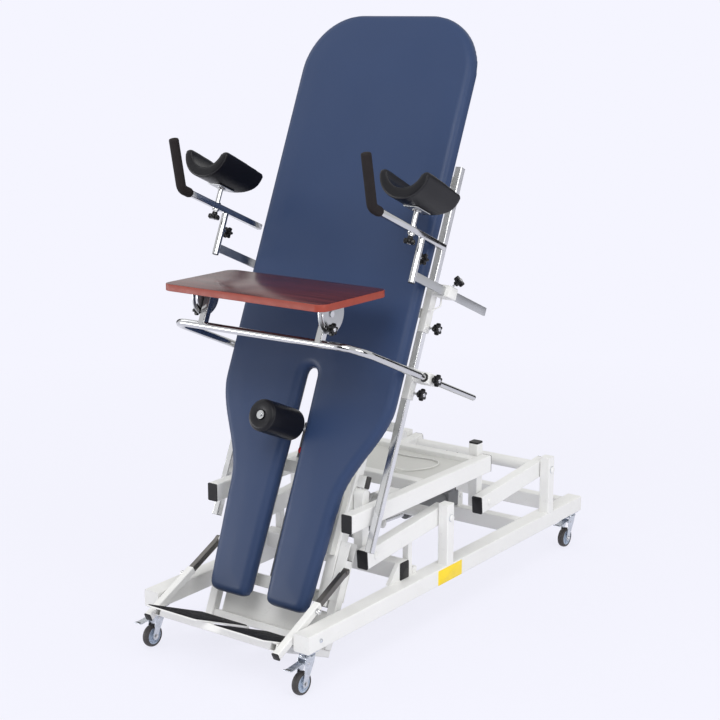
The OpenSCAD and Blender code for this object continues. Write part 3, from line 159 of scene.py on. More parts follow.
BRACE_FOOT = (FOOT_UNDER_S - 12.8, 182.5)
BRACE_TOP = (159, -50)
SLEEVE_TOP = hypot(BRACE_TOP[0] - BRACE_FOOT[0], BRACE_TOP[1] - BRACE_FOOT[1]) * 0.56
CASTERS = ("fl", "fr", "rl", "rr")
CASTER_TRAIL = 30
WHEEL_RADIUS = 37.5
WHEEL_HALF = 12
TYRE_ROUND = 6
BRAKE_PIN = (-14, 98)
ARM_RUN, ARM_RISE, ARM_PIN_Z = 374, 33, 322
ARM_ROOTS = {"front_arms": 775, "rear_arms": 1462}

# Shapes: each maker returns points in millimetres and faces


def turns(steps, whole=2 * pi):
    """Angles in even steps round a turn, without its end."""
    return [whole * i / steps for i in range(steps)]


def quarter(steps):
    """Angles in even steps over a right angle, with both ends."""
    return [pi / 2 * i / steps for i in range(steps + 1)]


def polar(radius, angle, x=0, y=0):
    return x + radius * cos(angle), y + radius * sin(angle)


def arc(centre, radius, start, end, steps):
    """Points on an arc between two angles in degrees."""
    return [polar(radius, radians(start + (end - start) * i / steps), *centre) for i in range(steps + 1)]


def at_level(outline, z):
    return [(x, y, z) for x, y in outline]


def shift(x, y, z):
    return Matrix.Translation((x, y, z))


def loft(rings):
    """A skin over rings of the same number of points, closed at both ends."""
    count = len(rings[0])
    last = count * (len(rings) - 1)
    faces = []
    for j in range(0, last, count):
        for i in range(count):
            k = (i + 1) % count
            faces.append([j + i, j + k, j + count + k, j + count + i])
    faces += [list(range(count))[::-1], list(range(last, last + count))]
    return [p for ring in rings for p in ring], faces


def inset(outline, depth, mitre=0.35):
    """The outline moved inwards by depth, corner by corner."""
    moved = []
    for i, (x, y) in enumerate(outline):
        ax, ay = outline[i - 1]
        bx, by = outline[(i + 1) % len(outline)]
        first = Vector((x - ax, y - ay)).normalized()
        second = Vector((bx - x, by - y)).normalized()
        square = Vector((-first.y, first.x))
        normal = Vector((-(first.y + second.y), first.x + second.x))
        if normal.length < 1e-6:
            normal = square.copy()
        normal.normalize()
        share = max(mitre, normal.dot(square))
        moved.append((x + normal.x * depth / share, y + normal.y * depth / share))
    return moved


def prism(outline, low, high, bevel=0.8, bend=2):
    """An outline drawn out along Z, its end edges rounded by bevel."""
    levels = [(inset(outline, bevel * (1 - sin(a))), bevel * (1 - cos(a))) for a in quarter(bend)]
    rings = [at_level(ring, low + rise) for ring, rise in levels]
    return loft(rings + [at_level(ring, high - rise) for ring, rise in levels[::-1]])


def upright(part):
    """A shape drawn in x and t, stood on the s axis."""
    points, faces = part
    return [(x, z, y) for x, y, z in points], [f[::-1] for f in faces]


def sideways(part):
    """A shape drawn in y and z, its thickness turned to run across."""
    points, faces = part
    return [(z, x, y) for x, y, z in points], faces


def rounded(width, depth, radius, steps=4, centre=(0, 0)):
    """A rectangle with round corners, counter-clockwise."""
    outline = []
    for cx, cy, turn in ((1, -1, -90), (1, 1, 0), (-1, 1, 90), (-1, -1, 180)):
        corner = centre[0] + cx * (width / 2 - radius), centre[1] + cy * (depth / 2 - radius)
        outline += arc(corner, radius, turn, turn + 90, steps)
    return outline


def block(low, high, axis=2, radius=3, bevel=1.0):
    """A bar between two corners with rounded long edges along an axis."""
    low, high = Vector(low), Vector(high)
    a, b, turn = (axis + 1) % 3, (axis + 2) % 3, 2 - axis
    centre = (low + high) / 2
    wide, deep = high[a] - low[a], high[b] - low[b]
    outline = rounded(wide, deep, min(radius, wide / 2.01, deep / 2.01), centre=(centre[a], centre[b]))
    points, faces = prism(outline, low[axis], high[axis], bevel)
    return [p[turn:] + p[:turn] for p in points], faces


def lathe(profile, sides=32):
    """A profile of (radius, height) turned about Z."""
    return loft([[(*polar(max(r, 0.01), a), z) for a in turns(sides)] for r, z in profile])


def hoop(profile, sides):
    """A closed profile turned about Z, as a tyre is."""
    points, faces = [], []
    count = len(profile)
    for i, turn in enumerate(turns(sides)):
        points += [(*polar(r, turn), z) for r, z in profile]
        n = (i + 1) % sides * count
        for j in range(count):
            k = (j + 1) % count
            faces.append([i * count + j, n + j, n + k, i * count + k])
    return points, faces


def tube(path, radius, sides):
    """A round tube along a path; radius is one number or one for each point."""
    path = [Vector(p) for p in path]
    radii = radius if isinstance(radius, list) else [radius] * len(path)
    ends = [path[0], *path, path[-1]]
    along = [(after - before).normalized() for before, after in zip(ends, ends[2:])]
    side = along[0].orthogonal().normalized()
    rings = []
    for point, direction, size in zip(path, along, radii):
        side = (side - direction * side.dot(direction)).normalized()
        other = direction.cross(side)
        rings.append([tuple(point + size * cos(a) * side + size * sin(a) * other) for a in turns(sides)])
    return loft(rings)


def bend_path(points, radius, steps=8):
    """A path through corner points with each corner rounded by radius."""
    points = [Vector(p) for p in points]
    path = [points[0]]
    for before, corner, after in zip(points, points[1:], points[2:]):
        room = min((before - corner).length, (after - corner).length) * 0.49
        first, second = (before - corner).normalized(), (after - corner).normalized()
        reach = min(radius / tan(first.angle(second) / 2), room)
        start, end = corner + first * reach, corner + second * reach
        for u in (i / steps for i in range(steps + 1)):
            path.append(start * (1 - u) ** 2 + corner * 2 * u * (1 - u) + end * u * u)
    return [*path, points[-1]]


def facing(axis, at=(0, 0, 0)):
    """A place whose Z runs along an axis."""
    return Matrix.Translation(Vector(at)) @ Vector(axis).to_track_quat("Z", "Y").to_matrix().to_4x4()


class Form:
    """The points, faces and finishes of one piece; each part is drawn once for each of its signs."""

    def __init__(self, *signs):
        self.signs = signs or (1,)
        self.points, self.faces, self.finishes, self.names = [], [], [], []

    def turn(self, profile, finish, place=AS_DRAWN, sides=32):
        """Adds a turned part."""
        return self.add(lathe(profile, sides), finish, place)

    def add(self, part, finish, place=AS_DRAWN):
        """Adds a part where it is drawn, or, for a sign of -1, its mirror image."""
        points, faces = part
        if finish not in self.names:
            self.names.append(finish)
        placed = [place @ Vector(p) for p in points]
        for sign in self.signs:
            start = len(self.points)
            self.points += [(sign * q.x, q.y, q.z) for q in placed]
            self.faces += [[start + i for i in face[::sign]] for face in faces]
            self.finishes += [self.names.index(finish)] * len(faces)
        return self


def put_up(name, data):
    """A new object in the scene."""
    obj = bpy.data.objects.new(name, data)
    bpy.context.scene.collection.objects.link(obj)
    return obj


def piece(name, form, body, place=AS_DRAWN, replaces=(), sharp=32):
    """Makes one piece of the object, in its finishes, riding on its body."""
    mesh = bpy.data.meshes.new(name)
    mesh.from_pydata([Vector(p) * MM for p in form.points], [], form.faces)
    for finish_name in form.names:
        mesh.materials.append(finish(finish_name))
    mesh.polygons.foreach_set("material_index", form.finishes)
    shell = bmesh.new()
    shell.from_mesh(mesh)
    bmesh.ops.recalc_face_normals(shell, faces=shell.faces)
    shell.to_mesh(mesh)
    shell.free()
    mesh.shade_smooth()
    mesh.set_sharp_from_angle(angle=radians(sharp))
    obj = put_up(name, mesh)
    obj.matrix_world = place
    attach(obj, body)
    if replaces:
        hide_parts(*replaces)
    return obj


def settle(obj, modifiers):
    """Applies modifiers, given as (type, settings), to a piece's mesh."""
    for kind, settings in modifiers:
        modifier = obj.modifiers.new(kind.title(), kind)
        for key, value in settings.items():
            setattr(modifier, key, value)
    bpy.context.view_layer.update()
    mesh = bpy.data.meshes.new_from_object(obj.evaluated_get(bpy.context.evaluated_depsgraph_get()))
    obj.modifiers.clear()
    obj.data = mesh
    mesh.shade_smooth()


def soften(obj, voxel, rounds):
    """Turns a drawn form into a padded one: an even skin with its edges relaxed."""
    remesh = ("REMESH", {"mode": "VOXEL", "voxel_size": voxel * MM})
    settle(obj, [remesh, ("SMOOTH", {"iterations": rounds, "factor": 0.5})])


# Finishes: shared effects as node groups, then one material for each finish


class Wires:
    """A node tree with short ways to add and join nodes."""

    def __init__(self, tree):
        self.tree = tree

    def put(self, socket, value):
        """Joins an output to a socket, or sets the socket's own value."""
        if isinstance(value, bpy.types.NodeSocket):
            self.tree.links.new(value, socket)
        else:
            socket.default_value = value

    def node(self, kind, *values, **settings):
        """A new node with its settings, and values for its first inputs."""
        new = self.tree.nodes.new(kind)
        for key, value in settings.items():
            setattr(new, key, value)
        for socket, value in zip(new.inputs, values):
            self.put(socket, value)
        return new

    def feed(self, node, **values):
        for key, value in values.items():
            self.put(node.inputs[key.replace("_", " ")], value)
        return node

    def noise(self, vector, scale, detail, distortion=0.0):
        cloud = self.node("ShaderNodeTexNoise")
        self.feed(cloud, Vector=vector, Scale=scale, Detail=detail, Distortion=distortion)
        return cloud.outputs["Fac"]

    def cells(self, vector, scale, **settings):
        cells = self.node("ShaderNodeTexVoronoi", **settings)
        return self.feed(cells, Vector=vector, Scale=scale).outputs

    def maths(self, operation, first, second):
        return self.node("ShaderNodeMath", first, second, operation=operation).outputs[0]

    def spread(self, value, low, high, to_low, to_high):
        return self.node("ShaderNodeMapRange", value, low, high, to_low, to_high).outputs[0]

    def stretch(self, vector, sizes):
        return self.node("ShaderNodeVectorMath", vector, sizes, operation="MULTIPLY").outputs[0]

    def shade(self, colour, share):
        scale = self.node("ShaderNodeVectorMath", colour, operation="SCALE")
        return self.feed(scale, Scale=share).outputs[0]

    def mix(self, share, first, second):
        new = self.node("ShaderNodeMix", share, data_type="RGBA")
        self.put(new.inputs[6], first)
        self.put(new.inputs[7], second)
        return new.outputs[2]

    def blend(self, share, first, second):
        return self.node("ShaderNodeMixShader", share, first, second).outputs[0]


EFFECTS = {}
SOCKETS = {"Vector": "NodeSocketVector", "Roughness": "NodeSocketFloat", "Height": "NodeSocketFloat"}
SOCKETS.update(dict.fromkeys(("Scale", "Amount", "Low", "High"), "NodeSocketFloat"))
SOCKETS.update(dict.fromkeys(("Color", "Rubbed", "Dust", "Dark", "Light"), "NodeSocketColor"))


def effect(name, **inputs):
    """Lists the maker of a node group; it is given the group's inputs and returns its outputs."""

    def listed(make):
        EFFECTS[name] = make, {"Vector": None, **inputs}
        return make

    return listed


def group_of(name):
    """The node group of a shared effect, made when it is first used."""
    if name in bpy.data.node_groups:
        return bpy.data.node_groups[name]
    make, inputs = EFFECTS[name]
    group = bpy.data.node_groups.new(name, "ShaderNodeTree")
    new_socket = group.interface.new_socket
    for key, value in inputs.items():
        socket = new_socket(name=key, in_out="INPUT", socket_type=SOCKETS[key])
        if value is not None:
            socket.default_value = value
    wires = Wires(group)
    results = make(wires, wires.node("NodeGroupInput").outputs)
    for key in results:
        new_socket(name=key, in_out="OUTPUT", socket_type=SOCKETS[key])
    wires.feed(wires.node("NodeGroupOutput"), **results)
    return group


@effect("Tone Patches", Color=None, Scale=5.0, Amount=0.1)
def tone_patches(w, given):
    """Slow changes of tone, as paint and cloth have over a large face."""
    low, high = (w.maths(step, 1.0, given["Amount"]) for step in ("SUBTRACT", "ADD"))
    share = w.spread(w.noise(given["Vector"], given["Scale"], 4.0), 0.3, 0.7, low, high)
    return {"Color": w.shade(given["Color"], share)}


@effect("Scuffs", Color=None, Rubbed=None, Scale=30.0, Amount=0.3)
def scuffs(w, given):
    """Small rubbed spots and streaks where a finish has been handled."""
    coarse = w.noise(given["Vector"], given["Scale"], 6.0)
    fine = w.noise(given["Vector"], w.maths("MULTIPLY", given["Scale"], 7.0), 3.0)
    mask = w.spread(w.maths("MULTIPLY", coarse, fine), 0.33, 0.48, 0.0, given["Amount"])
    return {"Color": w.mix(mask, given["Color"], given["Rubbed"])}


@effect("Floor Dust", Color=None, Dust=None, Height=0.4, Amount=0.15)
def floor_dust(w, given):
    """Dust that gathers low down, thinner with height."""
    level = w.node("ShaderNodeSeparateXYZ", given["Vector"]).outputs["Z"]
    low = w.spread(level, 0.0, given["Height"], 1.0, 0.0)
    cloud = w.spread(w.noise(given["Vector"], 14.0, 5.0), 0.35, 0.65, 0.3, 1.0)
    mask = w.maths("MULTIPLY", w.maths("MULTIPLY", low, cloud), given["Amount"])
    return {"Color": w.mix(mask, given["Color"], given["Dust"])}


@effect("Wiped Gloss", Scale=12.0, Low=0.2, High=0.4)
def wiped_gloss(w, given):
    """Roughness that wanders between two values, as on a wiped surface."""
    cloud = w.noise(given["Vector"], given["Scale"], 5.0, 0.6)
    return {"Roughness": w.spread(cloud, 0.35, 0.65, given["Low"], given["High"])}


@effect("Hide Grain", Scale=700.0)
def hide_grain(w, given):
    """The pebbled emboss of upholstery vinyl and leather, as a height."""
    cells = w.cells(given["Vector"], given["Scale"], feature="DISTANCE_TO_EDGE")
    crease = w.spread(cells["Distance"], 0.0, 0.16, 0.0, 0.7)
    cloud = w.noise(given["Vector"], given["Scale"], 2.0)
    return {"Height": w.maths("ADD", crease, w.maths("MULTIPLY", cloud, 0.3))}


@effect("Orange Peel", Scale=350.0)
def orange_peel(w, given):
    """The soft ripple of a powder coat or a moulded face, as a height."""
    return {"Height": w.noise(given["Vector"], given["Scale"], 1.5)}


@effect("Zinc Spangle", Color=None, Scale=180.0, Amount=0.12)
def zinc_spangle(w, given):
    """The patchwork of crystals on bright zinc."""
    cells = w.cells(given["Vector"], given["Scale"])
    parts = w.node("ShaderNodeSeparateColor", cells["Color"]).outputs
    share = w.spread(parts[0], 0.0, 1.0, w.maths("SUBTRACT", 1.0, given["Amount"]), 1.0)
    rough = w.spread(parts[1], 0.0, 1.0, 0.24, 0.38)
    return {"Color": w.shade(given["Color"], share), "Roughness": rough}


@effect("Mahogany Figure", Dark=None, Light=None)
def mahogany_figure(w, given):
    """Straight dark grain of a printed mahogany laminate."""
    figure = w.noise(w.stretch(given["Vector"], (4.0, 60.0, 60.0)), 1.0, 7.0, 0.35)
    pores = w.noise(w.stretch(given["Vector"], (30.0, 900.0, 900.0)), 1.0, 2.0)
    tone = w.mix(w.spread(figure, 0.35, 0.68, 0.0, 1.0), given["Dark"], given["Light"])
    dark = w.spread(pores, 0.55, 0.7, 0.0, 0.35)
    return {"Color": w.mix(dark, tone, given["Dark"]), "Height": pores}


@effect("Foam Cells", Scale=900.0)
def foam_cells(w, given):
    """The fine open cells of a foam grip, as a height."""
    cells = w.cells(given["Vector"], given["Scale"])
    return {"Height": w.spread(cells["Distance"], 0.1, 0.7, 0.0, 1.0)}


def rgba(colour):
    return (*colour[:3], 1.0)


def coat(name, colour, first=None, tone=None, rub=None, dust=None, gloss=None, relief=None, **sockets):
    """A material: each effect that is given is laid over the colour in turn."""
    material = bpy.data.materials.new("finish_" + name)
    material.use_nodes = True
    w = Wires(material.node_tree)
    place = w.node("ShaderNodeTexCoord").outputs["Object"]

    def lay(effect_name, **values):
        node = w.node("ShaderNodeGroup", node_tree=group_of(effect_name))
        return w.feed(node, Vector=place, **values).outputs

    base, height = rgba(colour), None
    if first:
        laid = lay(first[0], **first[1])
        base, height = laid["Color"], laid.get("Height")
        sockets.update({key: laid[key] for key in ["Roughness"] if key in laid})
    if tone:
        base = lay("Tone Patches", Color=base, Scale=tone[0], Amount=tone[1])["Color"]
    if rub:
        rubbed = rgba([min(1.0, c * rub[0] + rub[1]) for c in colour])
        base = lay("Scuffs", Color=base, Rubbed=rubbed, Scale=rub[2], Amount=rub[3])["Color"]
    if dust and dust[2]:
        base = lay("Floor Dust", Color=base, Dust=rgba(dust[0]), Height=dust[1], Amount=dust[2])["Color"]
    if gloss:
        scale, low, high = gloss
        sockets["Roughness"] = lay("Wiped Gloss", Scale=scale, Low=low, High=high)["Roughness"]
    if relief:
        kind, scale, strength, distance = relief
        height = height or lay(kind, Scale=scale)["Height"]
        bump = w.feed(w.node("ShaderNodeBump"), Strength=strength, Distance=distance, Height=height)
        sockets["Normal"] = bump.outputs["Normal"]
    w.feed(material.node_tree.nodes["Principled BSDF"], Base_Color=base, **sockets)
    return material


PALE_DUST, GREY_DUST = (0.52, 0.49, 0.44), (0.42, 0.40, 0.37)


def paint(name, colour, dust=0.12, low=0.34, high=0.46):
    laid = {"tone": (3.0, 0.02), "rub": (0.72, 0.0, 24.0, 0.3), "dust": (PALE_DUST, 0.35, dust)}
    return coat(name, colour, gloss=(8.0, low, high), relief=("Orange Peel", 420.0, 0.12, 0.0006), **laid)


def polished(name, colour, low, high, tone=0.03):
    return coat(name, colour, tone=(9.0, tone), gloss=(16.0, low, high), Metallic=1.0)


def zinc(name, colour):
    spangle = "Zinc Spangle", {"Color": rgba(colour), "Scale": 140.0, "Amount": 0.16}
    return coat(name, colour, first=spangle, dust=(GREY_DUST, 0.2, 0.25), Metallic=1.0)


def vinyl(name, colour, low, high, grain=900.0, strength=0.16, tone=0.03):
    laid = {"tone": (2.6, tone), "rub": (1.35, 0.006, 10.0, 0.1), "gloss": (5.0, low, high)}
    return coat(name, colour, relief=("Hide Grain", grain, strength, 0.0004), Specular_IOR_Level=0.26, **laid)


def moulded(name, colour, low, high, grain=600.0, strength=0.2, dust=0.0):
    laid = {"tone": (20.0, 0.08), "rub": (1.6, 0.012, 60.0, 0.5), "dust": (GREY_DUST, 0.3, dust)}
    laid.update(gloss=(30.0, low, high), relief=("Orange Peel", grain, strength, 0.0003))
    return coat(name, colour, Specular_IOR_Level=0.3, **laid)


def foam(name, colour):
    relief = ("Foam Cells", 1100.0, 0.35, 0.0005)
    return coat(name, colour, tone=(30.0, 0.12), relief=relief, Roughness=0.82, Specular_IOR_Level=0.2)


def laminate(name, dark, light):
    figure = "Mahogany Figure", {"Dark": rgba(dark), "Light": rgba(light)}
    relief = (None, None, 0.08, 0.0003)
    return coat(name, dark, first=figure, gloss=(6.0, 0.2, 0.27), relief=relief, Specular_IOR_Level=0.35)


def looks():
    return bpy.context.scene.tilt_table


# Each finish: its maker, its colour or the setting that holds it, and how it differs
FINISHES = {
    "powder_coat": (paint, "paint_colour"),
    "board_paint": (paint, (0.66, 0.66, 0.63), 0.0, 0.4, 0.5),
    "chrome": (polished, "chrome_colour", 0.08, 0.17),
    "rail_chrome": (polished, (0.74, 0.745, 0.76), 0.14, 0.22, 0.04),
    "satin_steel": (polished, (0.52, 0.53, 0.54), 0.3, 0.4, 0.05),
    "dark_steel": (polished, (0.17, 0.162, 0.155), 0.3, 0.42, 0.08),
    "zinc": (zinc, "zinc_colour"),
    "pad_vinyl": (vinyl, "pad_colour", 0.38, 0.48),
    "black_vinyl": (vinyl, (0.007, 0.007, 0.010), 0.3, 0.4, 1100.0, 0.2, 0.1),
    "yellow_plate": (moulded, (0.94, 0.69, 0.03), 0.35, 0.45, 500.0, 0.06),
    "piping": (moulded, (0.02, 0.02, 0.023), 0.3, 0.42),
    "knob_plastic": (moulded, (0.006, 0.006, 0.007), 0.22, 0.32),
    "cap_plastic": (moulded, (0.008, 0.008, 0.010), 0.42, 0.55, 500.0, 0.25, 0.15),
    "mat_rubber": (moulded, (0.008, 0.008, 0.011), 0.6, 0.75, 800.0, 0.35, 0.03),
    "grip_foam": (foam, (0.019, 0.0155, 0.016)),
    "tyre": (moulded, (0.034, 0.030, 0.032), 0.45, 0.58, 700.0, 0.25, 0.1),
    "hub_plastic": (moulded, (0.42, 0.50, 0.62), 0.35, 0.48, 400.0, 0.12, 0.1),
    "red_plastic": (moulded, (0.55, 0.018, 0.02), 0.2, 0.3, 500.0, 0.06),
    "tray_laminate": (laminate, (0.062, 0.012, 0.013), (0.125, 0.026, 0.026)),
    "edge_band": (moulded, (0.29, 0.05, 0.032), 0.35, 0.48, 400.0, 0.08),
    "motor_paint": (moulded, (0.16, 0.165, 0.175), 0.36, 0.5, 300.0, 0.2, 0.2),
    "cable_sheath": (moulded, (0.74, 0.74, 0.72), 0.4, 0.5, 300.0, 0.1),
    "dark_cable": (moulded, (0.03, 0.03, 0.033), 0.4, 0.5, 300.0, 0.1),
    "box_plastic": (moulded, (0.05, 0.052, 0.056), 0.42, 0.52, 350.0, 0.2),
}


def finish(name):
    """The material of a finish, made when it is first used."""
    if "finish_" + name in bpy.data.materials:
        return bpy.data.materials["finish_" + name]
    maker, colour, *rest = FINISHES[name]
    return maker(name, getattr(looks(), colour) if isinstance(colour, str) else colour, *rest)


FRAME_FINISHES = {
    "powder_coat": "base_rails base_uprights front_arms rear_arms lift_frame table_frame "
    "foot_frame brace_sleeves",
    "cap_plastic": "lift_frame_caps",
    "board_paint": "equipment_plate backing_board",
    "cable_sheath": "actuator_cable",
    "motor_paint": "lift_motor tilt_motor",
    "chrome": "lift_rod tilt_rod tray_bar",
    "rail_chrome": "side_rails",
    "satin_steel": "index_rail knee_carriage tray_sectors",
    "dark_steel": "brace_rods",
    "zinc": "caster_plates",
}


# Settings that a user would change

COLOUR = {"subtype": "COLOR", "size": 3, "min": 0.0, "max": 1.0}


class TiltTableLooks(bpy.types.PropertyGroup):
    pad_colour: bpy.props.FloatVectorProperty(
        name="Pad colour", description="Colour of the upholstery vinyl",
        default=(0.028, 0.052, 0.125), **COLOUR,
    )
    paint_colour: bpy.props.FloatVectorProperty(
        name="Paint colour", description="Colour of the powder coated steel",
        default=(0.84, 0.84, 0.825), **COLOUR,
    )
    chrome_colour: bpy.props.FloatVectorProperty(
        name="Chrome colour", description="Colour of the chromed tubes",
        default=(0.60, 0.605, 0.62), **COLOUR,
    )
    zinc_colour: bpy.props.FloatVectorProperty(
        name="Zinc colour", description="Colour of the zinc plated parts",
        default=(0.68, 0.72, 0.78), **COLOUR,
    )
    backdrop_colour: bpy.props.FloatVectorProperty(
        name="Backdrop colour", description="Colour of the floor and backdrop",
        default=(0.913, 0.913, 1.0), **COLOUR,
    )
    pad_crown: bpy.props.FloatProperty(
        name="Pad crown", description="How far the middle of the pad stands above its edges",
        min=0.0, max=0.006, default=0.003, unit="LENGTH",
    )
    pad_edge: bpy.props.FloatProperty(
        name="Pad edge radius", description="Radius of the pad's rounded front edge",
        min=0.01, max=0.03, default=0.022, unit="LENGTH",
    )
    knob_radius: bpy.props.FloatProperty(
        name="Knob radius", description="Outer radius of the hand knobs",
        min=0.016, max=0.021, default=0.02, unit="LENGTH",
    )
    foam_swell: bpy.props.FloatProperty(
        name="Grip thickness", description="How far the foam of the hand grips stands out",
        min=0.0, max=0.004, default=0.002, unit="LENGTH",
    )


# Upholstery


def half_width(s):
    """Half the pad's width at a place along it."""
    if s < CALF_S:
        return (FOOT_WIDTH + (CALF_WIDTH - FOOT_WIDTH) * s / CALF_S) / 2
    if s < HIP_S:
        u = (s - CALF_S) / (HIP_S - CALF_S)
        return (CALF_WIDTH + (HIP_WIDTH - CALF_WIDTH) * u * u * (3 - 2 * u)) / 2
    return (HIP_WIDTH + (HEAD_WIDTH - HIP_WIDTH) * (s - HIP_S) / (PAD_LENGTH - HIP_S)) / 2


def pad_outline(depth):
    """The pad's outline drawn in by depth, from the top of the slot round the right side and back."""
    foot = max(FOOT_RADIUS - depth, 2)
    side_foot, side_top, side_steps = 42, PAD_LENGTH - HEAD_RADIUS, 60
    slot_x = SLOT_FOOT_WIDTH / 2 + depth + foot
    right = arc((0, SLOT_CENTRE), SLOT_TOP_WIDTH / 2 + depth, 90, 0, 14)
    right += arc((slot_x, depth + foot), foot, 180, 270, 10)
    right += arc((half_width(0) - depth - foot, depth + foot), foot, 270, 360, 10)
    for i in range(side_steps):
        s = side_foot + (side_top - side_foot) * i / side_steps
        right.append((half_width(s) - depth, s))
    right += arc((half_width(side_top) - HEAD_RADIUS, side_top), HEAD_RADIUS - depth, 0, 90, 30)
    return right + [(-x, s) for x, s in right[:0:-1]]


def to_outline(points, outline):
    """The distance from each point to the nearest edge of an outline, in millimetres."""
    ends = np.array(outline, float)
    starts = np.roll(ends, 1, axis=0)
    best = np.full(len(points), 1e9)
    for start, step in zip(starts, ends - starts):
        away = points - start
        share = np.clip((away @ step) / (step @ step + 1e-9), 0, 1)
        best = np.minimum(best, np.hypot(*(away - share[:, None] * step).T))
    return best


def shape_pad(mesh):
    """Raises the crown and gathers the vinyl where it turns round tight arcs."""
    co = np.zeros(len(mesh.vertices) * 3, np.float32)
    mesh.vertices.foreach_get("co", co)
    co = co.reshape(-1, 3)
    flat = co[:, :2].astype(float) / MM
    gap = to_outline(flat, pad_outline(0))
    share = np.clip(gap / CROWN_REACH, 0, 1)
    rise = looks().pad_crown / MM * share * share * (3 - 2 * share)
    front = np.clip((co[:, 2] / MM - FRONT_FOOT) / FRONT_RISE, 0, 1)
    tight = [(0, SLOT_CENTRE, SLOT_TOP_WIDTH / 2, *SLOT_TUCKS)]
    for x in (SLOT_FOOT_WIDTH / 2 + FOOT_RADIUS, half_width(0) - FOOT_RADIUS):
        tight += [(side * x, FOOT_RADIUS, FOOT_RADIUS, *FOOT_TUCKS) for side in BOTH]
    puckers = np.zeros(len(flat))
    for cx, cy, radius, count, depth in tight:
        dx, dy = flat[:, 0] - cx, flat[:, 1] - cy
        near = np.clip(1 - np.abs(np.hypot(dx, dy) - radius) / TUCK_REACH, 0, 1)
        turn = np.arctan2(dy, dx)
        wave = np.cos(turn * count) + 0.5 * np.cos(turn * (count * 0.37) + 1.3)
        puckers += depth * wave * near * np.clip(1 - gap / RIM_REACH, 0, 1)
    sway = SWAY * np.sin(flat[:, 0] / SWAY_ACROSS + 0.7) * np.sin(flat[:, 1] / SWAY_ALONG) * share
    co[:, 2] += ((rise + sway) * front - puckers * front * TUCK_SHARE) * MM
    mesh.vertices.foreach_set("co", co.reshape(-1))
    mesh.update()


class TILTTABLE_OT_pad(bpy.types.Operator):
    """Makes the upholstered pad with its soft edges, crown and the tucks round the leg slot"""

    bl_idname = "tilttable.pad"
    bl_label = "Pad"

    def execute(self, context):
        edge = looks().pad_edge / MM
        levels = [(8, -PAD_DEPTH), (2, -PAD_DEPTH + 3), (0, -PAD_DEPTH + 9)]
        levels += [(edge * (1 - cos(turn)), -edge + edge * sin(turn)) for turn in quarter(8)]
        rings = [at_level(pad_outline(depth), level) for depth, level in levels]
        form = Form().add(loft(rings), "pad_vinyl")
        place = TOP @ shift(0, 0, PAD_LIFT * MM)
        obj = piece("pad_cover", form, "table", place, ["pad"])
        soften(obj, 8, 5)
        shape_pad(obj.data)
        return {"FINISHED"}


def gather_ends(obj):
    """Gathers the cover a little where it turns over both ends."""
    gathers, tuck, lobes, sag = 26, 0.006, 3, 0.004
    for vertex in obj.data.vertices:
        x, y, z = vertex.co.x, vertex.co.y - ROLL_S * MM, vertex.co.z - ROLL_GAP * MM
        turn = atan2(y, x)
        end = min(z, ROLL_LENGTH * MM - z) / MM
        share = max(0.0, 1 - abs(end - 5) / 12) * min(1.0, hypot(x, y) / 0.05)
        swell = 1 - tuck * share * (1 + cos(turn * gathers)) - sag * cos(turn * lobes) * (1 - share)
        vertex.co.x = x * swell
        vertex.co.y = y * swell + ROLL_S * MM


class TILTTABLE_OT_knee_roll(bpy.types.Operator):
    """Makes the stuffed knee roll with its drawn-in ends and end buttons"""

    bl_idname = "tilttable.knee_roll"
    bl_label = "Knee roll"

    def execute(self, context):
        flat, edge, top = ROLL_RADIUS - ROLL_EDGE, ROLL_EDGE, ROLL_LENGTH - 1
        profile = [(9, 1.5), (flat - 10, 0.6), (flat, 1.2)]
        profile += [(flat + edge * sin(a), 1 + edge * (1 - cos(a))) for a in quarter(8)[1:8]]
        for u in (i / 10 for i in range(11)):
            swell = 0.8 * sin(pi * u)
            profile.append((ROLL_RADIUS + swell, 1 + edge + (ROLL_LENGTH - 2 * edge - 2) * u))
        profile += [polar(edge, a, flat, top - edge) for a in quarter(8)[1:]]
        profile += [(28, top - 0.4), (18, top - 1.6), (14.5, top - 3.5), (14.2, top - 8)]
        place = shift(0, ROLL_S, ROLL_GAP)
        form = Form().add(lathe(profile, 72), "black_vinyl", place)
        obj = piece("knee_roll_cover", form, "knee_roll", TOP, ["knee_roll"], sharp=60)
        gather_ends(obj)
        seams = Form()
        for level in (edge * 0.75, ROLL_LENGTH - edge * 0.75):
            ring = [polar(1.3, a, ROLL_RADIUS - 1.6, level) for a in (0.3, 1.4, 2.5, 3.9, 5.2)]
            seams.add(hoop(ring, 72), "piping", place)
        piece("knee_roll_seams", seams, "knee_roll", TOP)
        return {"FINISHED"}


def gutter_padding(side, place):
    name = "arm_gutter_" + side
    form = Form().add(prism(gutter_section(), GUTTER_REAR, GUTTER_FORE, 5, 3), "black_vinyl")
    obj = piece(name + "_padding", form, name, place, [name])
    cutter = gutter_cutter(place)
    settle(obj, [("BOOLEAN", {"operation": "INTERSECT", "object": cutter, "solver": "EXACT"})])
    bpy.data.objects.remove(cutter)
    soften(obj, 3.6, 5)


def gutter_section():
    """The padded wall's closed outline across the gutter, in x and s."""
    outer = arc((0, GUTTER_RADIUS), GUTTER_RADIUS, 180 - LIP_ANGLE, 360 + LIP_ANGLE, 40)
    lip, middle = GUTTER_WALL / 2, GUTTER_RADIUS - GUTTER_WALL / 2
    x, s = polar(middle, LIP_LEAN, 0, GUTTER_RADIUS)
    right = arc((x, s), lip, LIP_ANGLE, LIP_ANGLE + 180, 8)
    left = arc((-x, s), lip, -LIP_ANGLE, 180 - LIP_ANGLE, 8)
    return outer + right[1:] + gutter_bed()[-2:0:-1] + left[:-1]


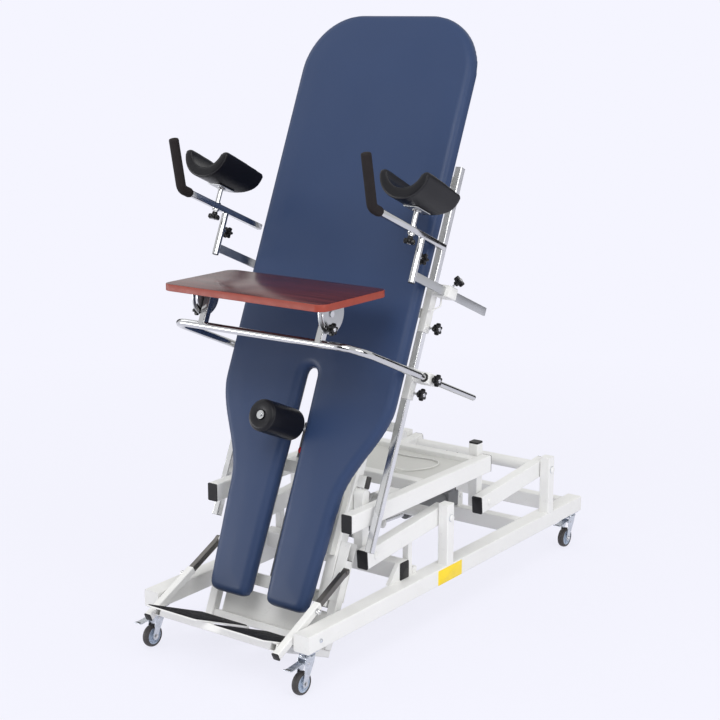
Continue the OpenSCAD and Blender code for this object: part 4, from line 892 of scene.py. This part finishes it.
def gutter_bed(out=0.0):
    """The curve of the padded bed from one lip to the other."""
    inner = GUTTER_RADIUS - GUTTER_WALL
    half, deep = polar(inner, LIP_LEAN, 0, GUTTER_RADIUS)
    deep -= GUTTER_BED
    radius = (half * half + deep * deep) / (2 * deep)
    turn = degrees(acos((radius - deep) / radius))
    return arc((0, GUTTER_BED + radius), radius + out, 270 - turn, 270 + turn, 30)


def gutter_cutter(place):
    """The gutter's side outline, with its wide curve at the lower rear corner."""
    low, lip = -1.0, GUTTER_WALL / 2
    top = GUTTER_RADIUS + (GUTTER_RADIUS - lip) * sin(LIP_LEAN) + lip
    outline = arc((GUTTER_FORE - 8, low + 8), 8, 270, 360, 4)
    outline += arc((GUTTER_FORE - 14, top - 14), 14, 0, 90, 6)
    outline += arc((GUTTER_REAR + 16, top - 12 - 16), 16, 90, 180, 6)
    outline += arc((GUTTER_REAR + 52, low + 52), 52, 180, 270, 12)
    points, faces = prism(outline, -100, 100, 0.1, 1)
    mesh = bpy.data.meshes.new("cutter")
    mesh.from_pydata([Vector((z, y, x)) * MM for x, y, z in points], [], [f[::-1] for f in faces])
    cutter = put_up("cutter", mesh)
    cutter.matrix_world = place
    return cutter


class TILTTABLE_OT_gutters(bpy.types.Operator):
    """Makes the two padded forearm gutters with their piping, base plates and stems"""

    bl_idname = "tilttable.gutters"
    bl_label = "Forearm gutters"

    def execute(self, context):
        for side, sign in SIDES.items():
            place = TOP @ Matrix.Translation(Vector((sign * FLAT_X, GUTTER_S, STEM_T[side])) * MM)
            gutter_padding(side, place)
            trim = Form()
            rim = at_level(gutter_bed(1.5), GUTTER_FORE - 2.5)
            trim.add(tube(rim, 1.8, 10), "piping")
            outer = arc((0, GUTTER_RADIUS), GUTTER_RADIUS - 2.0, 190, 350, 40)
            trim.add(tube(at_level(outer, GUTTER_FORE - 3.0), 1.8, 10), "piping")
            body = "arm_gutter_" + side
            piece(body + "_piping", trim, body, place)
            depth = GUTTER_S - FOREARM_S + 20
            metal = Form().add(block((-26, -1.5, -40), (26, 2.5, 40)), "satin_steel")
            metal.turn([(13, -6), (15, -4), (15, 0)], "satin_steel", facing(ALONG))
            metal.turn([(7, -depth), (8, -depth + 1), (8, -3)], "chrome", facing(ALONG), 28)
            piece(body + "_stem", metal, body, place)
        return {"FINISHED"}


def even_path(path):
    """The path with points about every 6 mm."""
    even = []
    for a, b in zip(path, path[1:]):
        count = max(1, int((b - a).length / 6))
        even += [a.lerp(b, (i + 1) / count) for i in range(count)]
    return even


class TILTTABLE_OT_hand_grips(bpy.types.Operator):
    """Makes the foam hand grips at the ends of the forearm bars"""

    bl_idname = "tilttable.hand_grips"
    bl_label = "Hand grips"

    def execute(self, context):
        radius = GRIP_RADIUS + looks().foam_swell / MM
        bend = (0, 0, 44)
        tip = (0, GRIP_LENGTH * cos(GRIP_LEAN), bend[2] + GRIP_LENGTH * sin(GRIP_LEAN))
        path = bend_path([(0, 0, 0.5), bend, tip], 30, 14)
        path = [path[0], *even_path(path)]
        cover = tube(path, [radius - 2] + [radius] * (len(path) - 1), 28)
        end = [(radius, 0), (radius * 0.98, 2.5), (radius * 0.88, 5), (radius * 0.6, 6.5), (0.1, 7)]
        end = lathe(end, 28)
        collar = lathe([(11, -0.3), (13, 0.5), (13, 4), (12, 5)], 28)
        for side, sign in SIDES.items():
            stand = Vector((sign * FLAT_X, FOREARM_S, BAR_FRONT_T + BAR_REACH[side]))
            form = Form().add(cover, "grip_foam")
            form.add(end, "grip_foam", facing((path[-1] - path[-2]).normalized(), path[-1]))
            form.add(collar, "cap_plastic", facing((0, 0, 1)))
            place = TOP @ Matrix.Translation(stand * MM)
            name, replaced = "hand_grip_%s_foam" % side, ["hand_grip_" + side]
            piece(name, form, "forearm_" + side, place, replaced, sharp=50)
        return {"FINISHED"}


# Hand knobs

KNOB_LEVELS = [
    (0.5, 9.0), (0.86, 9.2), (0.95, 10.6), (1, 12.6), (1, 20.5), (0.97, 22.4),
    (0.88, 23.7), (0.7, 24.2), (0.42, 24.4),
]


def star_knob(form, place, stud=0.0):
    """A six-lobed hand knob on its screw; Z points out of the knob's top."""
    swing, lobes, steep = 3.1, 6, 1.8
    middle = looks().knob_radius / MM - swing
    star = [(middle + swing * tanh(steep * cos(lobes * turn)) / tanh(steep), turn) for turn in turns(72)]
    rings = [[(*polar(r * k, a), z) for r, a in star] for k, z in KNOB_LEVELS]
    form.add(loft(rings), "knob_plastic", place)
    form.turn([(7.6, 0), (8.6, 0.6), (9, 2), (9.4, 10)], "knob_plastic", place, 28)
    form.turn([(6.6, 24.1), (6.4, 25.2), (5.6, 25.8), (0.1, 26.0)], "chrome", place, 24)
    if stud:
        form.turn([(3.9, -stud), (3.9, 1)], "chrome", place, 20)


def knob_piece(name, signs, place, stud=0.0):
    form = Form(*signs)
    star_knob(form, place, stud)
    node = name % ""
    piece(name % "_hand", form, node, TOP, [node])


class TILTTABLE_OT_knobs(bpy.types.Operator):
    """Makes the hand knobs of the tray and the armrests"""

    bl_idname = "tilttable.knobs"
    bl_label = "Hand knobs"

    def execute(self, context):
        bar = facing(ACROSS, (TRAY_BLOCK_OUT + SLIP, TRAY_S, BLOCK_MIDDLE))
        knob_piece("tray_bar%s_knobs", BOTH, bar)
        knob_piece("tray_tilt%s_knobs", BOTH, facing(ACROSS, (254.4, TRAY_PIVOT_S - 46, TRAY_FACE_T)), 6.4)
        for side, sign in SIDES.items():
            lean = Vector((1, 1, 0)).normalized()
            clamp = facing(lean, Vector((ARM_BLOCK_OUT - 6, ARM_S + 24, BLOCK_MIDDLE)) + lean * 9)
            post = facing(BACKWARD, (FLAT_X, POST_KNOB_S, POST_T + REACH[side] - 11 - 4.5 - SLIP))
            gutter = facing((0, -1, 0), (FLAT_X, FOREARM_S - 20.3, STEM_T[side]))
            knob_piece("clamp%s_knob_" + side, [sign], clamp, 9)
            knob_piece("post%s_knob_" + side, [sign], post)
            knob_piece("gutter%s_knob_" + side, [sign], gutter)
        return {"FINISHED"}


# Accessory clamps and armrest bars


def channel(low_s, high_s):
    """The open channel that wraps a side rail, drawn out along the rail."""
    rise, drop = RAIL_HIGH + SLIP, RAIL_LOW - SLIP
    floor, lid = drop - CLAMP_WALL, rise + CLAMP_WALL * 0.8
    outline = [(CLAMP_IN, floor), (CLAMP_OUT - 1.5, floor), (CLAMP_OUT, floor + 1.5)]
    outline += [(CLAMP_OUT, lid - 1.5), (CLAMP_OUT - 1.5, lid), (CLAMP_IN, lid), (CLAMP_IN, rise)]
    outline += [(RAIL_OUT + SLIP, rise), (RAIL_OUT + SLIP, drop), (CLAMP_IN, drop)]
    return upright(prism(outline, low_s, high_s, 0.6, 1))


def rail_clamp(form, s, channel_s, body_s, out, knob_s):
    """A channel with the block that holds the bar, and a boss with its lock knob."""
    form.add(channel(s + channel_s[0], s + channel_s[1]), "powder_coat")
    low, high = (CLAMP_OUT - 2, s + body_s[0], BLOCK_LOW), (out, s + body_s[1], BLOCK_HIGH)
    form.add(block(low, high, 2, 4, 1.5), "powder_coat")
    middle = (RAIL_LOW + RAIL_HIGH) / 2
    boss = lathe([(8.2, 0), (9, 0), (9, 7.2), (8.2, 8)], 28)
    form.add(boss, "powder_coat", facing(ACROSS, (CLAMP_OUT, s + knob_s, middle)))
    star_knob(form, facing(ACROSS, (CLAMP_OUT + 23, s + knob_s, middle)), 15)


class TILTTABLE_OT_clamps(bpy.types.Operator):
    """Makes the rail clamps of the tray and the armrests with their lock knobs"""

    bl_idname = "tilttable.clamps"
    bl_label = "Rail clamps"

    def execute(self, context):
        form = Form(*BOTH)
        rail_clamp(form, TRAY_S, (-76, 24), (-18, 18), TRAY_BLOCK_OUT, -54)
        collar = lathe([(13.5, 0), (14.5, 0.4), (14.5, 1.2), (10.2, 1.2)])
        for level in (BLOCK_LOW - 0.4, BLOCK_HIGH - 0.8):
            form.add(collar, "cap_plastic", shift(BAR_X, TRAY_S, level))
        piece("tray_rail_clamps", form, "tray_clamps", TOP, ["tray_clamps"])
        hook = [(350, -20, BLOCK_LOW + 20), (352, -46, BLOCK_LOW + 18), (350, -68, -58), (338, -74, -56)]
        hook = tube(bend_path([(x, ARM_S + s, t) for x, s, t in hook], 14), 3.0, 12)
        for side, sign in SIDES.items():
            form = Form(sign)
            rail_clamp(form, ARM_S, (-140, 21), (-18, 21), ARM_BLOCK_OUT, -123)
            form.add(hook, "powder_coat")
            node = "armrest_clamp_" + side
            piece("armrest_rail_clamp_" + side, form, node, TOP, [node])
        return {"FINISHED"}


def round_bar(form, profile, post_t, finish_name="chrome", sides=32):
    """A turned part on the axis of the post that stands post_t out from the table."""
    form.add(lathe(profile, sides), finish_name, facing(ALONG, (FLAT_X, 0, post_t)))


def flat_bar(form, half, s, low_t, high_t, radius, finish_name):
    """A bar that runs out from the table, half wide and half high on each side of its middle."""
    low, high = (FLAT_X - half[0], s - half[1], low_t), (FLAT_X + half[0], s + half[1], high_t)
    form.add(block(low, high, 2, radius, 0.8), finish_name)


class TILTTABLE_OT_armrest_bars(bpy.types.Operator):
    """Makes the flat bars with their posts and the forearm bars with end plugs"""

    bl_idname = "tilttable.armrest_bars"
    bl_label = "Armrest bars"

    def execute(self, context):
        for side, sign in SIDES.items():
            post_t = POST_T + REACH[side]
            form = Form(sign)
            flat_bar(form, (4, 14), ARM_S, FLAT_REAR_T + REACH[side], post_t - 4, 1.2, "satin_steel")
            low, high, outer = ARM_S - 24, POST_TOP_S, POST_RADIUS
            post = [(10, low), (outer, low + 1), (outer, high - 1), (10.2, high), (8.1, high)]
            round_bar(form, post, post_t)
            round_bar(form, [(9.4, low - 1.2), (10.4, low + 0.2), (10.4, low + 3)], post_t, "cap_plastic")
            boss = lathe([(7.2, -1), (7.2, 9.5), (6.6, 10)], 24)
            form.add(boss, "chrome", facing(BACKWARD, (FLAT_X, POST_KNOB_S, post_t - 6)))
            node = "armrest_bar_" + side
            piece("armrest_flat_bar_" + side, form, node, TOP, [node])
            form = Form(sign)
            rear, front = BAR_REAR_T + BAR_REACH[side], BAR_FRONT_T + BAR_REACH[side]
            flat_bar(form, (10, 10), FOREARM_S, rear, front, 2.4, "chrome")
            flat_bar(form, (9, 9), FOREARM_S, rear - 2, rear + 1, 2.4, "cap_plastic")
            round_bar(form, [(9.5, high + 0.4), (outer, high + 1.2), (outer, FOREARM_S - 9)], post_t)
            round_bar(form, [(7.9, ARM_S + 6), (7.9, high + 2)], post_t, sides=28)
            for low, high in ((FOREARM_S - 16, FOREARM_S - 9.6), (FOREARM_S + 9.6, FOREARM_S + 13)):
                ring = [(8.2, low), (11.5, low), (12, low + 0.6), (12, high - 0.6), (11.5, high), (8.2, high)]
                round_bar(form, ring, STEM_T[side])
            name = "forearm_rest_bar_" + side
            piece(name, form, "forearm_" + side, TOP, ["forearm_bar_" + side])
        return {"FINISHED"}


# Tray


def pressed_bolt(form, place, radius, finish_name="zinc"):
    """A domed bolt head on its washer."""
    washer = [(1, 0), (1, 1.2), (0.96, 1.6), (0.5, 1.7)]
    dome = [(0.72, 1.5), (0.71, 2.6), (0.62, 4.4), (0.42, 5.8), (0.16, 6.5), (0.1 / radius, 6.6)]
    for profile in (washer, dome):
        form.turn([(radius * share, level) for share, level in profile], finish_name, place)


class TILTTABLE_OT_tray(bpy.types.Operator):
    """Makes the laminated tray board with its edge band"""

    bl_idname = "tilttable.tray"
    bl_label = "Tray"

    def execute(self, context):
        outline = rounded(TRAY_WIDTH, TRAY_DEPTH, 34, 10, (0, TRAY_DEPTH / 2 - TRAY_FORE))
        low, high = TRAY_UNDER, TRAY_UNDER + TRAY_THICK
        levels = ((1.2, low), (0, low + 1.2), (0, high - 1.6), (0.6, high - 0.5), (1.8, high))
        rings = [at_level(inset(outline, depth) if depth else outline, z) for depth, z in levels]
        form = Form().add(loft(rings), "edge_band")
        form.names.append("tray_laminate")
        form.finishes[-2:] = [1, 1]
        piece("tray_top", form, "tray", TRAY, ["tray_board"], sharp=40)
        fixings = Form(*BOTH)
        for y in (-45, 45):
            pressed_bolt(fixings, facing(BACKWARD, (266, y, TRAY_UNDER - 4.2)), 6)
        piece("tray_fixings", fixings, "tray", TRAY)
        return {"FINISHED"}


# Footrest


def foot_plate(width, length, radius, low, high, bevel):
    middle = (FOOTPLATE_X, (HEEL_T + TOE_T) / 2)
    return upright(prism(rounded(width, length, radius, 6, middle), low, high, bevel))


class TILTTABLE_OT_footplates(bpy.types.Operator):
    """Makes the two footplates with their ribbed mats and hinge knuckles"""

    bl_idname = "tilttable.footplates"
    bl_label = "Footplates"

    def execute(self, context):
        length, face_s, hinge_s = TOE_T - HEEL_T, FOOT_UNDER_S + 4, FOOT_UNDER_S - 9.3
        for side, sign in SIDES.items():
            body = "footplate_" + side
            form = Form(sign)
            form.add(foot_plate(212, length, 12, FOOT_UNDER_S, face_s, 0.9), "powder_coat")
            knuckle = lathe([(6.3, 0), (9, 0), (9, 46), (6.3, 46)], 28)
            for x in (44, 175):
                form.add(knuckle, "powder_coat", facing(ACROSS, (x, hinge_s, HEEL_T - 6)))
                low, high = (x, hinge_s + 4, HEEL_T - 2), (x + 46, FOOT_UNDER_S + 1, HEEL_T + 12)
                form.add(block(low, high, 0, 2, 0.6), "powder_coat")
            piece("footplate_panel_" + side, form, body, TOP, [body])
            mat = Form(sign)
            mat.add(foot_plate(200, length - 12, 8, face_s, face_s + 2, 0.5), "mat_rubber")
            for x in (42 + RIB_PITCH * i for i in range(RIBS)):
                low, high = (x + 1.0, face_s + 1.6, HEEL_T + 9), (x + RIB_PITCH - 1.0, FOOT_S, TOE_T - 9)
                mat.add(block(low, high, 2, 1.0, 0.8), "mat_rubber")
            piece("footplate_mat_" + side, mat, body, TOP)
        return {"FINISHED"}


# Casters


def caster_fork():
    form = Form()
    head = [(24, 119), (25, 119.6), (25.4, 121), (24.6, 123), (21, 124.4), (20.4, 126), (21, 127.6)]
    head += [(24, 128.2), (24.6, 128.8), (24, 129.6), (16, 129.7)]
    form.turn(head, "zinc", sides=40)
    form.add(block((-16.5, -25, 115), (16.5, 20, 118.6), 1, 2), "zinc")
    form.signs = BOTH
    cheek = [(20, 118), (13, 96), *arc((-CASTER_TRAIL, WHEEL_RADIUS), 12.5, 14, -194, 14)]
    cheek += [(-31, 78), (-30, 100), (-25, 118)]
    form.add(sideways(prism(cheek[::-1], 13.5, 16.7)), "zinc")
    axle = facing(ACROSS, (16.7, -CASTER_TRAIL, WHEEL_RADIUS))
    form.turn([(7.6, 0), (7.6, 0.8), (6.6, 1.2)], "chrome", axle, 28)
    form.add(prism([polar(6.2, turn) for turn in turns(6)], 0.8, 5.0, 0.7), "chrome", axle)
    pin = lathe([(3, 0), (4.6, 0), (4.4, 1.2), (3, 1.8)], 20)
    form.add(pin, "chrome", facing(ACROSS, (16.6, *BRAKE_PIN)))
    return form.add(tube([(15.1, 11, 104), (15.1, -6, 66)], 1.6, 8), "zinc")


def caster_wheel():
    half, tread, rim = WHEEL_HALF, WHEEL_RADIUS - TYRE_ROUND, WHEEL_RADIUS * 0.74
    profile = [(rim, -half + 1.5), (rim + 1.5, -half + 0.2), (tread, -half)]
    profile += [(tread + TYRE_ROUND * sin(turn), -half * cos(turn)) for turn in turns(10, pi)[1:]]
    profile += [(tread, half), (rim + 1.5, half - 0.2), (rim, half - 1.5)]
    centre = shift(0, -CASTER_TRAIL, WHEEL_RADIUS) @ facing(ACROSS)
    form = Form().add(hoop(profile, 64), "tyre", centre)
    hub = [(4.2, 0.4), (9, 0.4), (9.6, 1.2), (10.4, 5), (rim - 5, 5.6)]
    hub += [(rim - 3, 2), (rim - 1.4, 1), (rim + 0.2, 1.6)]
    hub = [(r, z - half) for r, z in hub]
    hub += [(r, -z) for r, z in reversed(hub)]
    form.add(hoop(hub, 64), "hub_plastic", centre)
    for turn in turns(7):
        spoke = centre @ Matrix.Rotation(turn, 4, "Z")
        for z in (2.4 - half, half - 5.4):
            rib = block((9.5, -1.1, z), (rim - 2.5, 1.1, z + 3), 0, 0.6, 0.3)
            form.add(rib, "hub_plastic", spoke)
    return form


def caster_pedal():
    form = Form()
    outline = [(-14, 104.2), (-60, 99.2), (-88, 97.4), (-101, 101.4), (-102, 103.6)]
    outline += [(-100.6, 104.4), (-88, 100.2), (-60, 102), (-14, 107)]
    form.add(sideways(prism(outline[::-1], -13, 13, 0.6, 1)), "zinc")
    barrel = lathe([(3.1, -13), (6, -13), (6, 13), (3.1, 13)], 24)
    form.add(barrel, "zinc", facing(ACROSS, (0, *BRAKE_PIN)))
    bead = [(-20, 104.4), (-58, 100.2), (-90, 98.4), (-99, 101)]
    for x in (-10.4, 10.4):
        form.add(tube([(x, y, z) for y, z in bead], 1.5, 8), "zinc")
    return form.add(block((-9, -99, 101.0), (9, -90, 103.2), 0, 0.8, 0.5), "cap_plastic")


class TILTTABLE_OT_casters(bpy.types.Operator):
    """Makes the four casters: swivel heads, pressed forks, wheels and brake pedals"""

    bl_idname = "tilttable.casters"
    bl_label = "Casters"

    def execute(self, context):
        for corner in CASTERS:
            x, y, _ = JOINTS["swivel_" + corner]["pos_m"]
            place = shift(x, y, 0)
            for make, name, body, replaced in (
                (caster_fork, "yoke", "caster_", "fork"),
                (caster_wheel, "tyre", "wheel_", "wheel"),
                (caster_pedal, "brake", "pedal_", "pedal"),
            ):
                node = "caster_%s_%s" % (replaced, corner)
                piece("caster_%s_%s" % (name, corner), make(), body + corner, place, [node])
        return {"FINISHED"}


# Base, lift and table frame trim


class TILTTABLE_OT_frame_finishes(bpy.types.Operator):
    """Paints and plates the steel frame that shows as it was packed"""

    bl_idname = "tilttable.frame_finishes"
    bl_label = "Frame finishes"

    def execute(self, context):
        for finish_name, nodes in FRAME_FINISHES.items():
            for node in nodes.split():
                mesh = frame["nodes"][node].data
                mesh.materials.clear()
                mesh.materials.append(finish(finish_name))
                mesh.polygons.foreach_set("material_index", [0] * len(mesh.polygons))
        return {"FINISHED"}


def caps(form, boxes, axis, radius, bevel, place=AS_DRAWN):
    """Plastic end caps between pairs of corners."""
    for low, high in boxes:
        form.add(block(low, high, axis, radius, bevel), "cap_plastic", place)
    return form


def base_trim():
    form = caps(Form(*BOTH), [((288, 545, 190), (291.5, 595, 250))], 0, 5, 1.2, BASE)
    piece("cross_tube_caps", form, "base")
    form = Form(*BOTH)
    for y in ARM_ROOTS.values():
        pressed_bolt(form, BASE @ facing(ACROSS, (339.2, y, 355)), 13)
    pressed_bolt(form, BASE @ facing(ACROSS, (339.0, 55, 161.5)), 7)
    piece("base_pivot_bolts", form, "base")
    plate = block((338.8, 700, 134.5), (339.8, 846, 186.5), 0, 3, 0.2)
    piece("base_yellow_plate", Form().add(plate, "yellow_plate", BASE), "base")


def arm_trim():
    root, end = (257.6, -52.2, -31.4), ARM_RUN + 1.5
    for name, base_y in ARM_ROOTS.items():
        place = shift(0, base_y - ARM_RUN - ORIGIN_Y, ARM_PIN_Z)
        turn = place @ Matrix.Rotation(atan2(ARM_RISE, ARM_RUN), 4, "X")
        boxes = [(root, (297.4, -45.6, 31.4)), ((257.8, end + 29.5, -31.2), (297.2, end + 34, 31.2))]
        form = caps(Form(*BOTH), boxes, 1, 5, 1.5, turn)
        pressed_bolt(form, place @ facing(ACROSS, (297, 0, 0)), 13, "powder_coat")
        piece(name.replace("arms", "arm_caps"), form, name)


def table_trim():
    form = caps(Form(*BOTH), [((245.4, 428, -95), (249, 468, -69))], 0, 4, 1.2)
    caps(form, [((176, s, -95), (216, end, -55)) for s, end in ((34.6, 37.2), (1882.8, 1886))], 1, 4, 1.0)
    rails = [((RAIL_IN, s, RAIL_LOW), (RAIL_OUT, s + 1.6, RAIL_HIGH)) for s in (233.6, 1502.8)]
    piece("table_end_caps", caps(form, rails, 1, 3, 0.7), "table", TOP)
    pin = lathe([(4.6, 0), (5.2, 1), (5.2, 9), (7.6, 10), (7.6, 12)], 24)
    form = Form().add(pin, "chrome", shift(0, PLUNGER_S, -49))
    pull = [(7.4, 11), (8.6, 12), (8.6, 17), (10.8, 18.4), (11, 20), (11, 25)]
    pull += [(10.4, 27.4), (8.6, 28.6), (0.1, 29)]
    form.turn(pull, "red_plastic", shift(0, PLUNGER_S, -50), 36)
    piece("index_pull_knob", form, "index_plunger", TOP, ["index_plunger"])


def footrest_trim():
    form = caps(Form(*BOTH), [((222, 189.5, -92), (254, 194.5, -60))], 1, 4, 1.2)
    angle = atan2(BRACE_TOP[1] - BRACE_FOOT[1], BRACE_TOP[0] - BRACE_FOOT[0])
    brace = shift(BRACE_X, *BRACE_FOOT) @ Matrix.Rotation(angle, 4, "X")
    caps(form, [((-12.9, -35.5, -12.9), (12.9, -31, 12.9))], 1, 4, 1.5, brace)
    piece("foot_tube_plugs", form, "foot_frame", TOP)
    head = lathe([(9.3, 0), (9.3, 8.6), (8.4, 9.6), (7.6, 12.2), (5, 14.4), (0.1, 15)])
    bolts = Form(*BOTH).add(head, "chrome", brace @ facing(ACROSS, (12.6, SLEEVE_TOP - 25, 0)))
    piece("brace_lock_bolts", bolts, "foot_frame", TOP)


def motor_trim():
    """Cable glands, an end cap and the two leads that loop into the lift motor."""
    axis, across = Vector(JOINTS["lift_stroke"]["axis"]), Vector(ACROSS)
    up = across.cross(axis)
    up = -up if up.z < 0 else up
    gear_reach, motor_height = 59, 29 + 104
    gear = Vector(JOINTS["lift_motor_pivot"]["pos_m"]) / MM + axis * gear_reach
    top = gear + up * motor_height
    cap = [(28.8, -14), (30, -13), (30, -2), (28.5, 1.6), (24, 3), (0.1, 3.2)]
    form = Form().add(lathe(cap, 40), "box_plastic", facing(up, top))
    form.turn([(29.6, -78), (30.2, -77), (30.2, -73), (29.6, -72)], "zinc", facing(up, top), 40)
    gland = lathe([(6.4, 2), (6.4, 7), (4.4, 10), (3.8, 15)], 20)
    for x in (-10, 10):
        form.add(gland, "cap_plastic", facing(up, top + across * x))
        lead = [top + across * x + up * 8, top + across * x * 2 + up * 40]
        lead.append(top + across * x * 2.6 + up * 38 - axis * 34)
        lead.append(gear + across * x * 2.2 - axis * 20 + up * 22)
        form.add(tube(bend_path(lead, 18), 3.0, 12), "dark_cable")
    piece("lift_motor_fittings", form, "lift_motor")


class TILTTABLE_OT_trim(bpy.types.Operator):
    """Adds the end caps, pivot bolts, index knob, brace bolts and motor fittings"""

    bl_idname = "tilttable.trim"
    bl_label = "Trim"

    def execute(self, context):
        base_trim()
        arm_trim()
        table_trim()
        footrest_trim()
        motor_trim()
        return {"FINISHED"}


# Stage and camera

SHADOW = 0.16
SKY_LIGHT = 0.74
FLOOR_HALF = 20
CARD_DISTANCE = 6
# Lamps: name, place, target, size in metres and power in watts
LAMPS = [
    ("key_lamp", (1.6, -4.4, 5.0), (0, 0, 0.8), 2.4, 120),
    ("side_lamp", (4.6, -1.2, 3.0), (0, 0.2, 0.8), 2.2, 60),
    ("left_lamp", (-4.6, -0.6, 4.2), (0, 0, 0.6), 2.4, 26),
]
# Cards round the object: bearing in degrees, width, foot and head in metres, and glow
CARDS = [
    (-84, 4.4, 0.0, 6.0, 0.0),
    (-4, 3.6, 0.0, 6.0, 0.0),
    (70, 3.0, 0.0, 3.0, 0.0),
    (160, 2.6, 0.0, 3.0, 0.0),
    (-138, 5.0, 0.1, 1.3, 8.0),
]
LENS = 77.03
CAMERA_PLACE = (3.0084, -3.3906 - ORIGIN_Y * MM, 2.0276)
CAMERA_TURN = (radians(77.14), 0, radians(36.21))
WHITE = (1.0, 1.0, 1.0, 1.0)


def cleared(holder):
    """The wires of a material or a world, with its ready-made nodes taken out."""
    holder.use_nodes = True
    holder.node_tree.nodes.clear()
    return Wires(holder.node_tree)


def seen_rays(w, *kinds):
    """One for the rays that show a surface as it is, nought for those that light others."""
    path = w.node("ShaderNodeLightPath").outputs
    rays = path["Is Camera Ray"]
    for kind in kinds:
        rays = w.maths("MAXIMUM", rays, path[kind])
    return rays


def backdrop(name, colour):
    """A pale surface that keeps the object's shadow and shows its own colour to the camera."""
    material = bpy.data.materials.new(name)
    w = cleared(material)
    diffuse = w.node("ShaderNodeBsdfDiffuse", rgba([min(1.0, c * 0.92) for c in colour])).outputs[0]
    glow = w.node("ShaderNodeEmission", rgba(colour), 1.0).outputs[0]
    place = w.node("ShaderNodeTexCoord").outputs["Object"]
    away = w.node("ShaderNodeVectorMath", place, operation="LENGTH").outputs["Value"]
    seen = w.blend(w.spread(away, 1.0, 4.0, 1 - SHADOW, 1.0), diffuse, glow)
    rays = seen_rays(w, "Is Glossy Ray", "Is Transmission Ray")
    w.feed(w.node("ShaderNodeOutputMaterial"), Surface=w.blend(rays, diffuse, seen))
    return material


def sheet(name, corner_points, material):
    """A flat stage piece: one four-cornered face in its material."""
    mesh = bpy.data.meshes.new(name)
    mesh.from_pydata(corner_points, [], [(0, 1, 2, 3)])
    mesh.materials.append(material)
    obj = put_up(name, mesh)
    return obj


def stand_cards():
    """Stands dark and bright cards round the object, which only its own surfaces reflect."""
    for i, (bearing, wide, low, high, glow) in enumerate(CARDS):
        face = bpy.data.materials.new("card_face_%d" % i)
        face.use_nodes = True
        shader = face.node_tree.nodes["Principled BSDF"]
        w = Wires(face.node_tree)
        w.feed(shader, Base_Color=(0.015, 0.015, 0.018, 1.0), Roughness=0.9)
        w.feed(shader, Emission_Color=WHITE, Emission_Strength=glow)
        away, half = CARD_DISTANCE, wide / 2
        corner_points = [(away, -half, low), (away, half, low), (away, half, high), (away, -half, high)]
        card = sheet("card_%d" % i, corner_points, face)
        card.rotation_euler = (0, 0, radians(bearing))
        card.visible_camera = card.visible_diffuse = card.visible_shadow = False


class TILTTABLE_OT_stage(bpy.types.Operator):
    """Sets up the floor, backdrop, lamps and the camera of the photograph"""

    bl_idname = "tilttable.stage"
    bl_label = "Stage"

    def execute(self, context):
        scene = context.scene
        colour = tuple(looks().backdrop_colour)
        far = FLOOR_HALF
        floor = [(-far, -far, 0), (far, -far, 0), (far, far, 0), (-far, far, 0)]
        sheet("floor", floor, backdrop("floor_paper", colour))
        scene.world = bpy.data.worlds.new("studio")
        w = cleared(scene.world)
        soft = w.node("ShaderNodeBackground", WHITE, SKY_LIGHT).outputs[0]
        seen = w.node("ShaderNodeBackground", rgba(colour), 1.0).outputs[0]
        sky = w.blend(seen_rays(w, "Is Transmission Ray"), soft, seen)
        w.feed(w.node("ShaderNodeOutputWorld"), Surface=sky)
        for name, place, target, size, power in LAMPS:
            lamp = bpy.data.lights.new(name, "AREA")
            lamp.size = size
            lamp.energy = power
            holder = put_up(name, lamp)
            holder.location = place
            holder.rotation_euler = (Vector(target) - Vector(place)).to_track_quat("-Z", "Y").to_euler()
        stand_cards()
        camera = bpy.data.cameras.new("photo_camera")
        camera.lens = LENS
        camera.sensor_width = 36
        camera.clip_end = 100
        scene.camera = put_up("photo_camera", camera)
        scene.camera.location = CAMERA_PLACE
        scene.camera.rotation_euler = CAMERA_TURN
        scene.view_settings.view_transform = "Standard"
        return {"FINISHED"}


PIECE_OPERATORS = [
    TILTTABLE_OT_frame_finishes,
    TILTTABLE_OT_pad,
    TILTTABLE_OT_knee_roll,
    TILTTABLE_OT_gutters,
    TILTTABLE_OT_hand_grips,
    TILTTABLE_OT_knobs,
    TILTTABLE_OT_clamps,
    TILTTABLE_OT_armrest_bars,
    TILTTABLE_OT_tray,
    TILTTABLE_OT_footplates,
    TILTTABLE_OT_casters,
    TILTTABLE_OT_trim,
    TILTTABLE_OT_stage,
]


class TILTTABLE_PT_panel(bpy.types.Panel):
    """Lists the settings and the makers of the table's pieces"""

    bl_idname = "TILTTABLE_PT_panel"
    bl_label = "Tilt Table"
    bl_space_type = "VIEW_3D"
    bl_region_type = "UI"
    bl_category = "Tilt Table"

    def draw(self, context):
        column = self.layout.column()
        for name in TiltTableLooks.__annotations__:
            column.prop(context.scene.tilt_table, name)
        for maker in PIECE_OPERATORS:
            column.operator(maker.bl_idname)


CLASSES = [TiltTableLooks, *PIECE_OPERATORS, TILTTABLE_PT_panel]


def register():
    for item in CLASSES:
        bpy.utils.register_class(item)
    bpy.types.Scene.tilt_table = bpy.props.PointerProperty(type=TiltTableLooks)


def unregister():
    del bpy.types.Scene.tilt_table
    for item in reversed(CLASSES):
        bpy.utils.unregister_class(item)


def main():
    register()
    for maker in PIECE_OPERATORS:
        group, name = maker.bl_idname.split(".")
        getattr(getattr(bpy.ops, group), name)()


if __name__ == "__main__":
    main()
